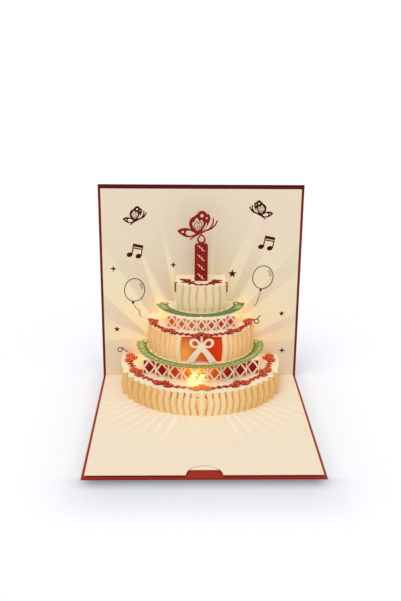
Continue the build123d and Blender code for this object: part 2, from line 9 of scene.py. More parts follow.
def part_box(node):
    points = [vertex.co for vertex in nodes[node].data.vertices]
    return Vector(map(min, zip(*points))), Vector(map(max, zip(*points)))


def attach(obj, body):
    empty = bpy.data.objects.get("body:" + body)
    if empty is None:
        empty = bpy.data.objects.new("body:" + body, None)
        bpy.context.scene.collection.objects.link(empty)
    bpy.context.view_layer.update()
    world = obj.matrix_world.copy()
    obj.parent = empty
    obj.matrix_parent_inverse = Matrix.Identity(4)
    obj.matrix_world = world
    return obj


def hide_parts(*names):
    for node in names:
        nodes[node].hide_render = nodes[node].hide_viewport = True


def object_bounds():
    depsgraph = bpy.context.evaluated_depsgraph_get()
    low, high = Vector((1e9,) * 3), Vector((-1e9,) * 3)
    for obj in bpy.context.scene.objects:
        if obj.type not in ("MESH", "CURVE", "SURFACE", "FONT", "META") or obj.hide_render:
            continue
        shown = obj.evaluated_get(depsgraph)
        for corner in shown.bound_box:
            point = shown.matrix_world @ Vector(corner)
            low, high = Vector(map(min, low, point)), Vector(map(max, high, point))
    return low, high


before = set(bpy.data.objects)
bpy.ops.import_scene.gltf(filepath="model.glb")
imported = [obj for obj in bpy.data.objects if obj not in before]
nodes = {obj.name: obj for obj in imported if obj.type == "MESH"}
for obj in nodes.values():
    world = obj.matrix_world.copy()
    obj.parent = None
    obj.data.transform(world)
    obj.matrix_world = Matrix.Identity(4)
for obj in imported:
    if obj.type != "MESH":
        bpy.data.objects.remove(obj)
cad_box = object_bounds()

# Pop-up card with a three-tier paper cake, open at a right angle. Sizes are in millimetres and turned to
# metres by mm where a mesh, a lamp or a pattern takes them. X is to the right, Y to the back, Z up.
mm = 0.001
# Thickness of the cake's paper, and how far strips and bow stop under a deck's upper face
sheet, tuck = 0.35, 0.02
card_back = cad_box[1][1] / mm
wall_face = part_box("inner_page")[1].y / mm - sheet
lower_deck_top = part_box("lower_band")[1].z / mm
upper_deck_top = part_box("upper_band")[1].z / mm
# Half the width of the middle tier's window
window_half = 14.2

# A tier's strips stand on a circle: its centre and radius, the pitch of the strips, the slot between them,
# how far each strip's edge swells, and how far the deck's round edge lies inside the circle
Tier = namedtuple("Tier", "name centre radius pitch slot wave inset foot top")


def tier(name, depth, *sizes):
    """A tier whose centre lies a depth before the page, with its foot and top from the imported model."""
    low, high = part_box(name)
    return Tier(name, wall_face - depth, *sizes, low.z / mm, high.z / mm)


bottom = tier("bottom_tier", 10.2, 60.5, 4.55, 0.75, 1.2, 0.5)
middle = tier("middle_tier", 11.5, 39.4, 3.3985, 0.5, 0.8, 0.4)
top = tier("top_tier", 5.3, 24.2, 4.857, 0.4, 0.75, 0.3)


# Nodes and materials

def linear(hex_colour):
    """An sRGB hex value as linear red, green, blue and alpha."""
    channels = [int(hex_colour[start:start + 2], 16) / 255 for start in (1, 3, 5)]
    return [c / 12.92 if c <= 0.04045 else ((c + 0.055) / 1.055) ** 2.4 for c in channels] + [1.0]


def add(tree, kind, inputs=None, **settings):
    """Adds a node with its settings. An input is a value, an output, or a node for its first output."""
    made = tree.nodes.new(kind)
    for name, value in settings.items():
        setattr(made, name, value)
    for key, value in (inputs or {}).items():
        if isinstance(value, bpy.types.Node):
            value = next(output for output in value.outputs if output.enabled)
        if isinstance(value, bpy.types.NodeSocket):
            tree.links.new(value, made.inputs[key])
        else:
            made.inputs[key].default_value = value
    return made


# Painted streaks of lamp light before the cake: degrees from one to the next, and from straight ahead to the
# first
streak_pitch, streak_first = 5.5, 16.0


def measured(tree, place, what):
    """A value over a surface, and the unit in which a layer gives its limits.

    It is X, Y or Z; aside, from the middle plane; across, from a strip's middle to its edge at 0.5; turned,
    the angle round the bottom tier from straight ahead; streak, 1 along each streak before the cake; the
    distance from a point; or how far to the right of a line on the upright page, from one (x, z) to another.
    """
    if not isinstance(what, str) and len(what) == 3:
        point = [value * mm for value in what]
        return add(tree, "ShaderNodeVectorMath", {0: place, 1: point}, operation="DISTANCE"), mm
    if not isinstance(what, str):
        start, end = [Vector((x, 0, z)) for x, z in what]
        along = (end - start).normalized()
        right = Vector((along.z, 0, -along.x))
        side = add(tree, "ShaderNodeVectorMath", {0: place, 1: right}, operation="DOT_PRODUCT")
        return add(tree, "ShaderNodeMath", {0: side, 1: right.dot(start) * mm}, operation="SUBTRACT"), mm
    if what == "across":
        place = add(tree, "ShaderNodeAttribute", attribute_name="across").outputs["Vector"]
    split = add(tree, "ShaderNodeSeparateXYZ", {0: place})
    if what in "XYZ":
        return split.outputs[what], mm
    if what in ("across", "aside"):
        return add(tree, "ShaderNodeMath", {0: split}, operation="ABSOLUTE"), mm if what == "aside" else 1
    ahead = add(tree, "ShaderNodeMath", {0: bottom.centre * mm, 1: split.outputs["Y"]}, operation="SUBTRACT")
    angle = add(tree, "ShaderNodeMath", {0: split, 1: ahead}, operation="ARCTAN2")
    turned = add(tree, "ShaderNodeMath", {0: angle}, operation="ABSOLUTE")
    if what == "turned":
        return turned, math.radians(1)
    past = add(tree, "ShaderNodeMath", {0: turned, 1: math.radians(streak_first)}, operation="SUBTRACT")
    turns = add(tree, "ShaderNodeMath", {0: past, 1: 360 / streak_pitch}, operation="MULTIPLY")
    return add(tree, "ShaderNodeMath", {0: turns}, operation="COSINE"), 1


def painted(tree, place, base, layers):
    """The base colour turned towards each layer's colour in turn.

    A layer is a colour, its strength and its limits. A limit says what is measured, where the colour starts
    and where it is full, with a smooth step between the two.
    """
    found = {}
    for colour, factor, *limits in layers:
        for what, start, full in limits:
            if what not in found:
                found[what] = measured(tree, place, what)
            value, unit = found[what]
            step = add(tree, "ShaderNodeMapRange", {
                "Value": value, "From Min": start * unit, "From Max": full * unit,
            }, interpolation_type="SMOOTHSTEP")
            factor = add(tree, "ShaderNodeMath", {0: step, 1: factor}, operation="MULTIPLY")
        base = add(tree, "ShaderNodeMix", {
            "Factor": factor, "A": base, "B": linear(colour),
        }, data_type="RGBA")
    return base


def blank(name):
    """A material whose tree is empty."""
    material = bpy.data.materials.new(name)
    material.use_nodes = True
    material.node_tree.nodes.clear()
    return material


def surfaced(material, inputs):
    """The material with a shader that takes the inputs."""
    shader = add(material.node_tree, "ShaderNodeBsdfPrincipled", inputs)
    add(material.node_tree, "ShaderNodeOutputMaterial", {"Surface": shader})
    return material


def paper(name, colour, shade, layers=(), lit=None, fibre=0.3, relief=0.02, roughness=0.72, gloss=0.2):
    """Paper or board: a cloudy tone twenty fibres wide, fibres in the bump, and painted layers.

    lit is the colour and strength of a painted glow that stands for the lamp light coming through the sheet.
    """
    material = blank(name)
    tree = material.node_tree
    place = add(tree, "ShaderNodeTexCoord").outputs["Object"]
    cloud = add(tree, "ShaderNodeTexNoise", {"Vector": place, "Scale": 1 / (20 * fibre * mm), "Detail": 3.0})
    tone = add(tree, "ShaderNodeMix", {
        "Factor": cloud, "A": linear(colour), "B": linear(shade),
    }, data_type="RGBA")
    fibres = add(tree, "ShaderNodeTexNoise", {"Vector": place, "Scale": 1 / (fibre * mm), "Detail": 4.0})
    bump = add(tree, "ShaderNodeBump", {"Height": fibres, "Distance": relief * mm, "Strength": 0.6})
    glow, strength = lit or ("#FFFFFF", 0.0)
    return surfaced(material, {
        "Base Color": painted(tree, place, tone, layers), "Normal": bump, "Roughness": roughness,
        "Specular IOR Level": gloss, "Emission Color": linear(glow), "Emission Strength": strength,
    })


# Painted beams of lamp light on the upright page, each between two edges that run outwards from the cake
# (x, z), and how strong it is near the cake
beams = (
    (((-22.4, 78.0), (-34.0, 144.6)), ((-17.7, 78.0), (-33.4, 144.6)), 0.85),
    (((-33.0, 60.5), (-43.6, 94.2)), ((-25.2, 61.6), (-40.0, 93.1)), 0.95),
    (((-40.5, 36.0), (-71.9, 67.0)), ((-36.2, 49.4), (-69.6, 102.6)), 0.95),
    (((-45.8, 32.6), (-72.6, 31.5)), ((-41.5, 33.8), (-72.2, 49.4)), 0.6),
    (((13.4, 68.0), (35.0, 120.9)), ((27.3, 75.9), (45.1, 126.2)), 0.75),
    (((29.0, 65.0), (40.5, 88.0)), ((29.6, 52.9), (48.9, 77.2)), 0.7),
    (((33.4, 52.0), (56.5, 72.0)), ((38.6, 35.2), (67.2, 50.5)), 0.7),
    (((41.9, 32.7), (71.2, 43.9)), ((48.4, 28.2), (70.6, 31.6)), 0.35),
    (((6.0, 81.7), (8.4, 114.3)), ((9.9, 81.7), (11.4, 114.3)), 0.6),
)
# How soft a beam's edges are, the point that the beams run out from, and the two halves of the page
beam_edge = 1.1
beam_root = (0, wall_face, 30)
on_upright = ("Y", wall_face - 1.5, wall_face - 0.5)
on_lying = ("Y", wall_face - 0.5, wall_face - 1.5)

# Painted beams of lamp light behind the cake that fade outwards, over a painted shade close to it
page_layers = [("#D2B878", 0.2, (beam_root, 115, 30), on_upright)]
for first, second, strength in beams:
    sides = [(edge, -beam_edge, beam_edge) for edge in (first, second[::-1])]
    page_layers.append(("#FFF4CB", strength, *sides, on_upright, (beam_root, 125, 40)))
# Thin painted streaks of lamp light on the lying page before the cake
page_layers.append((
    "#FFFBEA", 0.45, ("streak", 0.6, 1.0), ((0, bottom.centre, bottom.foot), 108, 70),
    ("turned", 13, 15), ("turned", 68, 50), on_lying,
))

# Coated cover board, printed deep red: even colour, a faint sheen and a fine linen tooth. Painted shade
# turns the upright half a darker red than the half that lies, darkest in front along its top edge.
cover_board = paper("coated_cover_board", "#A22A19", "#962414", (
    ("#791713", 1.0, ("Y", card_back - 0.6, card_back - 0.1)),
    ("#791713", 1.0, ("Z", 2, 8)),
    ("#560D0B", 1.0, ("Z", 147, 150), ("Y", card_back - 0.1, card_back - 0.6)),
), fibre=0.25, roughness=0.5, gloss=0.12)
# Uncoated cream wove paper: warm, soft and fully matt, a slight cloud in its tone, with the painted lamp
# light and shade of its layers.
page_paper = paper("cream_wove_paper", "#F1E2CA", "#EDDDC3", page_layers, roughness=0.8)
# The same stock, die-cut for the cake: a little lighter than the page behind it.
cake_paper = paper("die_cut_cream_paper", "#F7E8CC", "#F3E2C2")
# The same paper in the folded strips of the lower walls, in a warmer copy: a faint painted glow stands for
# the lamp light that shines through it, and a painted tan shade darkens the edges of the strips and the tier
# towards its sides.
pleat_paper = paper("folded_cream_paper", "#F7E5BC", "#F3DFB2", (
    ("#E0AC58", 0.45, ("across", 0.1, 0.5)), ("#DFAC54", 0.55, ("aside", 6, 42)),
), ("#F0B050", 0.06))
# The same in the top wall, a shaded copy further from the lamps: greyer, with painted shade making the
# strips a little darker at their edges.
still_pleat_paper = paper("shaded_folded_paper", "#F3DFB6", "#EED9AE", (
    ("#D8B884", 0.3, ("across", 0.15, 0.5)),
))
# Smooth cream card for the message: between the page and the cake in tone, and as matt as paper.
message_paper = paper("cream_message_stock", "#F3E7CC", "#EFE1C3", roughness=0.76)
# Tissue tape: slightly yellow and smoother than the paper.
pocket_tape = paper("tissue_tape", "#E8DFC8", "#E3D9BF", fibre=0.4, relief=0.01, roughness=0.5)
# Dyed red paper of the lower wall inside, with painted lamp light from within: orange with a pale yellow
# core round the lamps and a faint painted glow all over; dark red towards both ends.
lower_lamps = (-3, bottom.centre - 35, 22)
lower_backing_paper = paper("dyed_red_paper", "#B01A12", "#A0150D", (
    ("#FF8E30", 1.0, (lower_lamps, 27, 3)), ("#FFD27A", 1.0, (lower_lamps, 8, 1)),
), ("#C82010", 0.08), roughness=0.75)
# The same for the upper wall: painted lamp light makes it orange in the middle, with a faint painted glow
# all over; deeper red to the right.
upper_backing_paper = paper("dyed_scarlet_paper", "#DC4420", "#CC3A19", (
    ("#F58A40", 1.0, ((-8, top.centre - 31, 57), 26, 4)),
), ("#F0521E", 0.12), roughness=0.75)
# The same behind the bow: painted lamp light makes it bright orange low on the left, where the lamp is; deep
# red to the right.
window_paper = paper("dyed_orange_paper", "#F04616", "#E43E10", (
    ("#FFAE55", 1.0, ((-13, middle.centre - middle.radius + 4.6, 35), 24, 2)),
), roughness=0.75, gloss=0.1)
# Papers printed on the face and die-cut: flat strong colours with a slight ink sheen. Painted warm lamp
# light turns the green yellower in front, and it is greyer on the upper ring.
wreath_paper = paper("green_printed_paper", "#6E933A", "#5A7F2E", (
    ("#758652", 0.8, ("Z", 40, 60)), ("#9C8618", 0.6, ((0, 18, lower_deck_top), 40, 8)),
), roughness=0.7, gloss=0.1)
# Orange where painted lamp light falls on it, orange red towards the sides, darker on the top tier.
garland_paper = paper("red_printed_paper", "#B92E14", "#9C210F", (
    ("#DA501C", 0.5, ("aside", 18, 50)), ("#7C2416", 0.6, ("Z", 60, 78)),
    ("#EE8420", 0.85, ((-3, bottom.centre - bottom.radius + 6, bottom.top), 17, 5)),
), roughness=0.7, gloss=0.1)
# The darkest of them: candle, flame loop and butterfly, even in tone.
candle_paper = paper("dark_red_printed_paper", "#941F13", "#87190E", roughness=0.7, gloss=0.1)
# The uncoloured cut edge that shows round each leaf and petal.
leaf_edge_paper = paper("pale_green_cut_edge", "#E9E5A2", "#E2DD98")
petal_edge_paper = paper("pale_red_cut_edge", "#F4C3A0", "#EDB48E")
# Paper laminate of a plain circuit board: brown, hard and slightly glossy.
board_laminate = paper(
    "phenolic_paper_laminate", "#B98A52", "#AD7E48", fibre=0.5, relief=0.01, roughness=0.35,
)
# Moulded resin of the control chip: black and half matt.
chip_resin = paper("black_moulded_resin", "#1B1B1D", "#222224", fibre=0.1, relief=0.01, roughness=0.5)
# Film of the switch tongue: milky and smooth.
switch_film = paper("polyester_film", "#D9D4C4", "#D2CCBA", fibre=0.5, relief=0.005, roughness=0.25)
# Red-brown printing ink, a thin film on the page.
print_ink = paper("red_brown_printing_ink", "#4C100C", "#420D0A", relief=0.01, roughness=0.8, gloss=0.05)


def rolled_steel(name, colour, roughness):
    """Rolled steel: brush lines 0.15 mm wide along X that show as streaks in its tone."""
    material = blank(name)
    tree = material.node_tree
    place = add(tree, "ShaderNodeTexCoord").outputs["Object"]
    stretch = add(tree, "ShaderNodeMapping", {"Vector": place, "Scale": (0.05, 1.0, 1.0)})
    lines = add(tree, "ShaderNodeTexNoise", {"Vector": stretch, "Scale": 1 / (0.15 * mm)})
    tone = add(tree, "ShaderNodeMix", {
        "Factor": lines, "A": linear(colour), "B": linear("#8F9296"),
    }, data_type="RGBA")
    return surfaced(material, {"Base Color": tone, "Metallic": 1.0, "Roughness": roughness})


# Cans of the button cells: grey, with a soft mirror. The strip that joins them: paler and smoother.
cell_steel = rolled_steel("stainless_cell_can", "#C3C6C9", 0.28)
strap_steel = rolled_steel("nickel_plated_strip", "#D3D2CB", 0.24)

# Warm white lamps: clear resin over a yellow phosphor that glows.
lamp_resin = surfaced(blank("glowing_lamp_resin"), {
    "Base Color": linear("#FFF1C9"), "Roughness": 0.2,
    "Emission Color": linear("#FFE7AA"), "Emission Strength": 1.0,
})

node_finishes = {
    "cover": cover_board, "inner_page": page_paper, "pocket_tapes": pocket_tape,
    "message_card": message_paper, "lower_band": cake_paper, "upper_band": cake_paper,
    "lower_backing": lower_backing_paper, "upper_backing": upper_backing_paper,
    "middle_foot_ring": cake_paper, "top_foot_ring": cake_paper, "window_backing": window_paper,
    "circuit_board": board_laminate, "lamp_board": board_laminate, "button_cells": cell_steel,
    "cell_strap": strap_steel, "control_chip": chip_resin, "switch_tongue": switch_film,
    "lamps": lamp_resin,
}
for name, material in node_finishes.items():
    for holder in nodes[name].material_slots:
        holder.material = material


# Flat shapes: loops of points in millimetres

def smooth(points, corners=(), closed=True, steps=6):
    """A smooth line through the points, sharp at the corners, which are given by their number."""
    count = len(points)
    line = []
    for start in range(count if closed else count - 1):
        end = (start + 1) % count
        here, there = Vector(points[start]), Vector(points[end])
        before = Vector(points[start - 1]) if closed or start else here
        after = Vector(points[(start + 2) % count]) if closed or start < count - 2 else there
        leaving = there - here if start in corners else (there - before) / 2
        arriving = there - here if end in corners else (after - here) / 2
        for step in range(steps):
            t = step / steps
            line.append(
                here * (2 * t**3 - 3 * t**2 + 1) + leaving * (t**3 - 2 * t**2 + t)
                + there * (3 * t**2 - 2 * t**3) + arriving * (t**3 - t**2)
            )
    if not closed:
        line.append(Vector(points[-1]))
    return line


def ellipse(centre, width, height, steps=24, lean=0.0):
    turn = Matrix.Rotation(math.radians(lean), 2)
    line = []
    for step in range(steps):
        angle = math.tau * step / steps
        reach = Vector((width / 2 * math.cos(angle), height / 2 * math.sin(angle)))
        line.append(Vector(centre) + turn @ reach)
    return line


def stroke(points, width, taper=0.3, steps=6):
    """A line with a width, thinner at its ends by the taper."""
    line = smooth(points, closed=False, steps=steps)
    left, right = [], []
    for place, point in enumerate(line):
        along = line[min(place + 1, len(line) - 1)] - line[max(place - 1, 0)]
        across = Vector((-along.y, along.x)).normalized()
        share = place / (len(line) - 1)
        half = width / 2 * (taper + (1 - taper) * math.sin(math.pi * share) ** 0.5)
        left.append(point + across * half)
        right.append(point - across * half)
    return left + right[::-1]


def star(points, outer, inner):
    line = []
    for step in range(2 * points):
        reach = inner if step % 2 else outer
        angle = math.pi * step / points
        line.append(Vector((reach * math.sin(angle), reach * math.cos(angle))))
    return line


def polar(centre, radius, degrees):
    """A point on a tier's circle, by its angle from straight ahead to the right."""
    angle = math.radians(degrees)
    return Vector((radius * math.sin(angle), centre - radius * math.cos(angle)))


def arc(centre, radius, first, last, steps=40):
    return [polar(centre, radius, first + (last - first) * step / steps) for step in range(steps + 1)]


def on_circle(centre, radius, x):
    return centre - math.sqrt(radius**2 - x**2)


def box_loop(x_low, x_high, y_low, y_high):
    return [(x_low, y_low), (x_high, y_low), (x_high, y_high), (x_low, y_high)]


# Meshes and pieces

def evaluated(holder):
    """A plain mesh of an object with its modifiers worked out; the object goes."""
    graph = bpy.context.evaluated_depsgraph_get()
    mesh = bpy.data.meshes.new_from_object(holder.evaluated_get(graph))
    data = holder.data
    bpy.data.objects.remove(holder)
    if isinstance(data, bpy.types.Curve):
        bpy.data.curves.remove(data)
    else:
        bpy.data.meshes.remove(data)
    return mesh


def placed(name, data):
    made = bpy.data.objects.new(name, data)
    bpy.context.collection.objects.link(made)
    return made


# Distance under which points are one, the same in a union, where cuts cross, and the bend in radians under
# which faces are one flat face
same_point, union_point, flat_angle = 0.00001, 0.002, 0.001


def closed_mesh(mesh, gap=same_point, refill=True):
    """Joins points closer than the gap and turns all faces outwards; refill cuts flat faces anew, evenly."""
    shell = bmesh.new()
    shell.from_mesh(mesh)
    bmesh.ops.remove_doubles(shell, verts=shell.verts, dist=gap)
    bmesh.ops.dissolve_degenerate(shell, edges=shell.edges, dist=gap)
    if refill:
        bmesh.ops.dissolve_limit(shell, angle_limit=flat_angle, verts=shell.verts, edges=shell.edges)
        bmesh.ops.triangulate(shell, faces=shell.faces, quad_method="BEAUTY", ngon_method="BEAUTY")
    bmesh.ops.recalc_face_normals(shell, faces=shell.faces)
    shell.to_mesh(mesh)
    shell.free()
    return mesh


def cut_sheet(name, loops, thick):
    """A sheet in X and Y that fills the loops, centred on z = 0; a loop inside another is a hole."""
    curve = bpy.data.curves.new(name, "CURVE")
    curve.dimensions = "2D"
    curve.fill_mode = "BOTH"
    curve.extrude = thick / 2
    for loop in loops:
        spline = curve.splines.new("POLY")
        spline.points.add(len(loop) - 1)
        spline.use_cyclic_u = True
        for point, spot in zip(spline.points, loop):
            point.co = (spot[0], spot[1], 0, 1)
    return closed_mesh(evaluated(placed(name, curve)))


def flat(loops, low, thick=sheet):
    """A sheet lying at height low."""
    mesh = cut_sheet("flat", loops, thick)
    mesh.transform(Matrix.Translation((0, 0, low + thick / 2)))
    return mesh


def upright(loops, front, thick=sheet):
    """A sheet drawn in X and Z that faces the front at y = front."""
    mesh = cut_sheet("upright", loops, thick)
    mesh.transform(Matrix.Translation((0, front + thick / 2, 0)) @ Matrix.Rotation(math.pi / 2, 4, "X"))
    return mesh


def joined(meshes):
    """One mesh of several that stay as they are."""
    shell = bmesh.new()
    for mesh in meshes:
        shell.from_mesh(mesh)
        bpy.data.meshes.remove(mesh)
    made = bpy.data.meshes.new("joined")
    shell.to_mesh(made)
    shell.free()
    return made


def united(meshes):
    """One mesh of several that overlap, with nothing left inside it."""
    holder = placed("united", meshes[0])
    tools = [placed("united_tool", mesh) for mesh in meshes[1:]]
    for tool in tools:
        union = holder.modifiers.new("union", "BOOLEAN")
        union.operation = "UNION"
        union.solver = "MANIFOLD"
        union.object = tool
    made = closed_mesh(evaluated(holder), union_point, refill=False)
    for tool in tools:
        data = tool.data
        bpy.data.objects.remove(tool)
        bpy.data.meshes.remove(data)
    return made


def piece(name, mesh, material, slot, *replaced):
    """A finished piece from a mesh in millimetres, riding on the card in place of the nodes."""
    mesh.transform(Matrix.Scale(mm, 4))
    mesh.materials.clear()
    mesh.materials.append(material)
    made = placed(name, mesh)
    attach(made, "card")
    if replaced:
        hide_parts(*replaced)
    return made


# Geometry Nodes: strips of a folded wall, and pieces repeated along a line

def new_tree(name, inputs):
    """A tree with the named inputs besides its geometry: returns it and the outputs of its input node."""
    tree = bpy.data.node_groups.new(name, "GeometryNodeTree")
    tree.interface.new_socket("Geometry", in_out="INPUT", socket_type="NodeSocketGeometry")
    for label, kind in inputs:
        tree.interface.new_socket(label, in_out="INPUT", socket_type=kind)
    tree.interface.new_socket("Geometry", in_out="OUTPUT", socket_type="NodeSocketGeometry")
    return tree, add(tree, "NodeGroupInput").outputs


def end_tree(tree, shape, paper):
    """Ends a tree with a plain mesh of the shape in its paper."""
    plain = add(tree, "GeometryNodeRealizeInstances", {"Geometry": shape})
    dressed = add(tree, "GeometryNodeSetMaterial", {"Geometry": plain, "Material": paper})
    add(tree, "NodeGroupOutput", {"Geometry": dressed})
    return tree


def grown(name, points, attributes, tree, values):
    """The plain mesh that a tree grows on the points, from numbers at each point and the tree's inputs."""
    mesh = bpy.data.meshes.new(name)
    mesh.from_pydata([tuple(point) for point in points], [], [])
    for label, numbers in attributes.items():
        mesh.attributes.new(label, "FLOAT", "POINT")
        for item, number in zip(mesh.attributes[label].data, numbers):
            item.value = number
    holder = placed(name, mesh)
    modifier = holder.modifiers.new(name, "NODES")
    modifier.node_group = tree
    for item in tree.interface.items_tree:
        if item.in_out == "INPUT" and item.name in values:
            modifier[item.identifier] = values[item.name]
    return evaluated(holder)


# A strip's points, across and along it, and how close two of them are joined. What moves each point: x is
# -0.5 to 0.5 across the strip and y the same along it. Each row is a name, an operation and what it takes.
strip_columns, strip_rows, seal_gap = 5, 17, 0.001
strip_rules = (
    ("rise", "ADD", "y", 0.5), ("up", "MULTIPLY", "rise", "Height"),
    ("turn", "MULTIPLY", "rise", math.pi), ("sine", "SINE", "turn", 0.0), ("swell", "POWER", "sine", 2.0),
    ("lean_size", "ABSOLUTE", "strip_lean", 0.0), ("evenness", "SUBTRACT", 1.0, "lean_size"),
    ("double_x", "MULTIPLY", "x", 2.0), ("both_ways", "MULTIPLY", "evenness", "double_x"),
    ("way", "ADD", "strip_lean", "both_ways"), ("swing", "MULTIPLY", "swell", "Wave"),
    ("push", "MULTIPLY", "swing", "way"), ("spread", "MULTIPLY", "strip_width", "x"),
    ("side", "ADD", "spread", "push"), ("x_squared", "MULTIPLY", "x", "x"),
    ("fall", "MULTIPLY", "x_squared", 2.0), ("crown", "SUBTRACT", 1.0, "fall"),
    ("bulge", "MULTIPLY", "swell", "crown"), ("forward", "MULTIPLY", "Bow", -1.0),
    ("bow", "MULTIPLY", "bulge", "forward"),
)


def wall_tree():
    """Strips on points: each swells sideways by a sine squared and bows forward, then gets its thickness."""
    tree, given = new_tree("wavy_strips", (
        ("Height", "NodeSocketFloat"), ("Wave", "NodeSocketFloat"), ("Bow", "NodeSocketFloat"),
        ("Thickness", "NodeSocketFloat"), ("Paper", "NodeSocketMaterial"),
    ))
    here = add(tree, "GeometryNodeInputPosition")
    grid = add(tree, "GeometryNodeMeshGrid", {
        "Size X": 1.0, "Size Y": 1.0, "Vertices X": strip_columns, "Vertices Y": strip_rows,
    })
    strip = add(tree, "GeometryNodeStoreNamedAttribute", {
        "Geometry": grid, "Name": "across", "Value": here,
    }, data_type="FLOAT_VECTOR")
    roots = add(tree, "GeometryNodeStoreNamedAttribute", {
        "Geometry": given["Geometry"], "Name": "root", "Value": here,
    }, data_type="FLOAT_VECTOR")
    strips = add(tree, "GeometryNodeInstanceOnPoints", {"Points": roots, "Instance": strip})
    loose = add(tree, "GeometryNodeRealizeInstances", {"Geometry": strips})
    kept = {}
    for label, kind in (
        ("across", "FLOAT_VECTOR"), ("root", "FLOAT_VECTOR"),
        ("strip_width", "FLOAT"), ("strip_lean", "FLOAT"),
    ):
        kept[label] = add(tree, "GeometryNodeInputNamedAttribute", {"Name": label}, data_type=kind)
    local = add(tree, "ShaderNodeSeparateXYZ", {0: kept["across"]}).outputs
    kept.update(x=local["X"], y=local["Y"])
    for label in ("Height", "Wave", "Bow"):
        kept[label] = given[label]
    for label, operation, *taken in strip_rules:
        values = {place: kept.get(value, value) for place, value in enumerate(taken)}
        kept[label] = add(tree, "ShaderNodeMath", values, operation=operation)
    shape = add(tree, "ShaderNodeCombineXYZ", {"X": kept["side"], "Y": kept["bow"], "Z": kept["up"]})
    spot = add(tree, "ShaderNodeVectorMath", {0: kept["root"], 1: shape}, operation="ADD")
    bent = add(tree, "GeometryNodeSetPosition", {"Geometry": loose, "Position": spot})
    inwards = add(tree, "ShaderNodeCombineXYZ", {"Y": given["Thickness"]})
    rear = add(tree, "GeometryNodeExtrudeMesh", {
        "Mesh": bent, "Offset": inwards, "Offset Scale": 1.0, "Individual": False,
    })
    behind = add(tree, "GeometryNodeFlipFaces", {"Mesh": rear})
    shell = add(tree, "GeometryNodeJoinGeometry", {"Geometry": behind})
    tree.links.new(bent.outputs["Geometry"], shell.inputs["Geometry"])
    sealed = add(tree, "GeometryNodeMergeByDistance", {"Geometry": shell, "Distance": seal_gap})
    return end_tree(tree, sealed, given["Paper"])


def repeat_tree():
    """One piece repeated on points, each turned and sized by its point and tilted a little at random."""
    tree, given = new_tree("repeated_piece", (
        ("Piece", "NodeSocketObject"), ("Tilt", "NodeSocketFloat"), ("Seed", "NodeSocketInt"),
        ("Paper", "NodeSocketMaterial"),
    ))
    source = add(tree, "GeometryNodeObjectInfo", {"Object": given["Piece"]}, transform_space="ORIGINAL")
    turn = add(tree, "GeometryNodeInputNamedAttribute", {"Name": "turn"}, data_type="FLOAT")
    size = add(tree, "GeometryNodeInputNamedAttribute", {"Name": "size"}, data_type="FLOAT")
    least = add(tree, "ShaderNodeMath", {0: given["Tilt"], 1: -1.0}, operation="MULTIPLY")
    tilts = []
    for step in range(2):
        seed = add(tree, "ShaderNodeMath", {0: given["Seed"], 1: float(step)}, operation="ADD")
        tilts.append(add(tree, "FunctionNodeRandomValue", {
            "Min": least, "Max": given["Tilt"], "Seed": seed,
        }, data_type="FLOAT"))
    angles = add(tree, "ShaderNodeCombineXYZ", {"X": tilts[0], "Y": tilts[1], "Z": turn})
    repeated = add(tree, "GeometryNodeInstanceOnPoints", {
        "Points": given["Geometry"], "Instance": source.outputs["Geometry"],
        "Rotation": angles, "Scale": size,
    })
    return end_tree(tree, repeated, given["Paper"])


wavy_strips = wall_tree()
repeated_piece = repeat_tree()


def repeats(mesh, places, material, tilt, seed):
    """The mesh repeated at places of (point, turn in degrees, size), as one mesh; the first one goes."""
    source = placed("repeat_source", mesh)
    made = grown("repeats", [place for place, turn, size in places], {
        "turn": [math.radians(turn) for place, turn, size in places],
        "size": [size for place, turn, size in places],
    }, repeated_piece, {"Piece": source, "Tilt": math.radians(tilt), "Seed": seed, "Paper": material})
    bpy.data.objects.remove(source)
    return made


# Tiers of cream paper: decks whose front edge steps back from strip to strip, and the strips folded down

# Length of the feet under the strips, how many strips apart they are, and how far a strip bows forward
foot_length, foot_every, strip_bow = 3.0, 3, 0.3
# Tabs that hold a deck at the page: their drop, how far they stop short of a deck's ends, and their width
# on a deck that isn't open
tab_drop, tab_margin, closed_tab = 7.0, 2.0, 9.1
# Openings in the two lower decks, half their width
bottom_inner, middle_inner = 30.0, 20.0
# Strips in a row on each side of the tiers' middle
bottom_strips, middle_strips, top_strips = 12, 6, 3
# Width of the top tier's middle strip, half the width of its deck, and the width of the window's posts
top_middle, top_half, post = 4.7, 18.295, 4.1


def strips_wall(tier, places, material=pleat_paper):
    """The folded strips at (x, width) as a piece, and the feet under every third one."""
    points = [(x, on_circle(tier.centre, tier.radius, x), tier.foot) for x, width in places]
    wall = grown("wall", points, {
        "strip_width": [width for x, width in places],
        "strip_lean": [float((x > 0) - (x < 0)) for x, width in places],
    }, wavy_strips, {
        "Height": tier.top - tuck - tier.foot, "Wave": tier.wave, "Bow": strip_bow, "Thickness": sheet,
        "Paper": material,
    })
    piece(tier.name + "_strips", wall, material, "cake_paper", tier.name)
    feet = []
    for place, ((x, width), point) in enumerate(zip(places, points)):
        if (place - len(places) // 2) % foot_every == 0:
            y = point[1] + sheet
            feet.append(flat([box_loop(x - width / 2, x + width / 2, y, y + foot_length)], tier.foot))
    return feet


def deck_edge(tier, places, setback):
    """The stepped front edge of a deck over strips at (x, width): neighbours meet halfway between them.

    Between the posts of the window the edge lies further back by the setback.
    """
    ends = [places[0][0] - places[0][1] / 2]
    for (x, width), (next_x, next_width) in zip(places, places[1:]):
        ends.append((x + width / 2 + next_x - next_width / 2) / 2)
    ends.append(places[-1][0] + places[-1][1] / 2)
    edge = []
    for (x, width), left, right in zip(places, ends, ends[1:]):
        in_window = neck_half < abs(x) < window_half
        front = on_circle(tier.centre, tier.radius, x) + (setback if in_window else 0)
        edge += [(left, front), (right, front)]
    return edge


